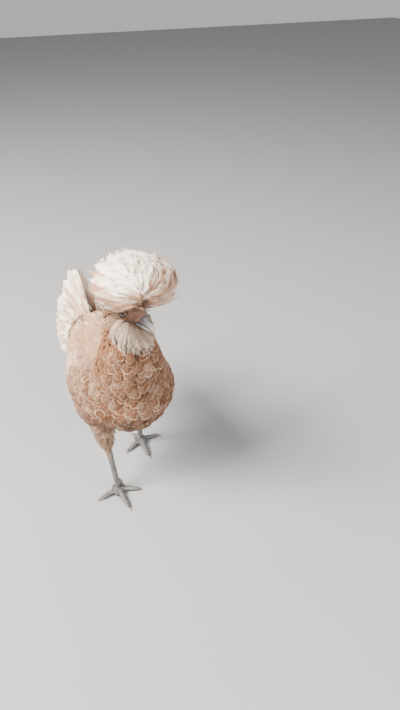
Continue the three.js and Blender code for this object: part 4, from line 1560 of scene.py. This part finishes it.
class HEN_OT_eyes(bpy.types.Operator):
    """Make eyes and lids"""

    bl_idname = "hen.eyes"
    bl_label = "Eyes"

    def execute(self, context):
        build_eyes(*settings(context))
        return {"FINISHED"}


class HEN_OT_body(bpy.types.Operator):
    """Lay breast, back and belly feathers"""

    bl_idname = "hen.body"
    bl_label = "Body feathers"

    def execute(self, context):
        build_body(*settings(context))
        return {"FINISHED"}


class HEN_OT_hackle(bpy.types.Operator):
    """Lay the neck feathers"""

    bl_idname = "hen.hackle"
    bl_label = "Hackle"

    def execute(self, context):
        build_hackle(*settings(context))
        return {"FINISHED"}


class HEN_OT_fluff(bpy.types.Operator):
    """Lay the soft feathers of thighs and vent"""

    bl_idname = "hen.fluff"
    bl_label = "Fluff"

    def execute(self, context):
        build_thighs(*settings(context))
        return {"FINISHED"}


class HEN_OT_wings(bpy.types.Operator):
    """Lay the wing feathers"""

    bl_idname = "hen.wings"
    bl_label = "Wings"

    def execute(self, context):
        build_wings(*settings(context))
        return {"FINISHED"}


class HEN_OT_tail(bpy.types.Operator):
    """Lay the tail feathers"""

    bl_idname = "hen.tail"
    bl_label = "Tail"

    def execute(self, context):
        build_tail(*settings(context))
        return {"FINISHED"}


class HEN_OT_face(bpy.types.Operator):
    """Lay the small face feathers"""

    bl_idname = "hen.face"
    bl_label = "Face feathers"

    def execute(self, context):
        build_face(*settings(context))
        return {"FINISHED"}


class HEN_OT_beard(bpy.types.Operator):
    """Lay beard and muffs"""

    bl_idname = "hen.beard"
    bl_label = "Beard"

    def execute(self, context):
        build_beard(*settings(context))
        return {"FINISHED"}


class HEN_OT_crest(bpy.types.Operator):
    """Lay the crest"""

    bl_idname = "hen.crest"
    bl_label = "Crest"

    def execute(self, context):
        build_crest(*settings(context))
        return {"FINISHED"}


class HEN_OT_stage(bpy.types.Operator):
    """Make floor, lights and camera"""

    bl_idname = "hen.stage"
    bl_label = "Stage"

    def execute(self, context):
        build_stage(context.scene.hen_stage)
        return {"FINISHED"}


OPERATORS = (
    HEN_OT_stage, HEN_OT_skin, HEN_OT_scutes, HEN_OT_claws, HEN_OT_bill, HEN_OT_eyes, HEN_OT_body,
    HEN_OT_hackle, HEN_OT_fluff, HEN_OT_wings, HEN_OT_tail, HEN_OT_face, HEN_OT_beard, HEN_OT_crest,
)


class HEN_PT_panel(bpy.types.Panel):
    """Lists the hen's makers and settings"""

    bl_idname = "HEN_PT_panel"
    bl_label = "Hen"
    bl_space_type = "VIEW_3D"
    bl_region_type = "UI"
    bl_category = "Hen"

    def draw(self, context):
        for operator in OPERATORS:
            self.layout.operator(operator.bl_idname)
        for group in (context.scene.hen_sizes, context.scene.hen_colours, context.scene.hen_stage):
            for name in group.__annotations__:
                self.layout.prop(group, name)


CLASSES = (HenSizes, HenColours, HenStage, *OPERATORS, HEN_PT_panel)


def register():
    for kind in CLASSES:
        bpy.utils.register_class(kind)
    bpy.types.Scene.hen_sizes = PointerProperty(type=HenSizes)
    bpy.types.Scene.hen_colours = PointerProperty(type=HenColours)
    bpy.types.Scene.hen_stage = PointerProperty(type=HenStage)


def unregister():
    del bpy.types.Scene.hen_sizes
    del bpy.types.Scene.hen_colours
    del bpy.types.Scene.hen_stage
    for kind in reversed(CLASSES):
        bpy.utils.unregister_class(kind)


def main():
    register()
    bpy.ops.hen.stage()
    bpy.ops.hen.skin()
    bpy.ops.hen.scutes()
    bpy.ops.hen.claws()
    bpy.ops.hen.bill()
    bpy.ops.hen.eyes()
    bpy.ops.hen.body()
    bpy.ops.hen.hackle()
    bpy.ops.hen.fluff()
    bpy.ops.hen.wings()
    bpy.ops.hen.tail()
    bpy.ops.hen.face()
    bpy.ops.hen.beard()
    bpy.ops.hen.crest()


if __name__ == "__main__":
    main()
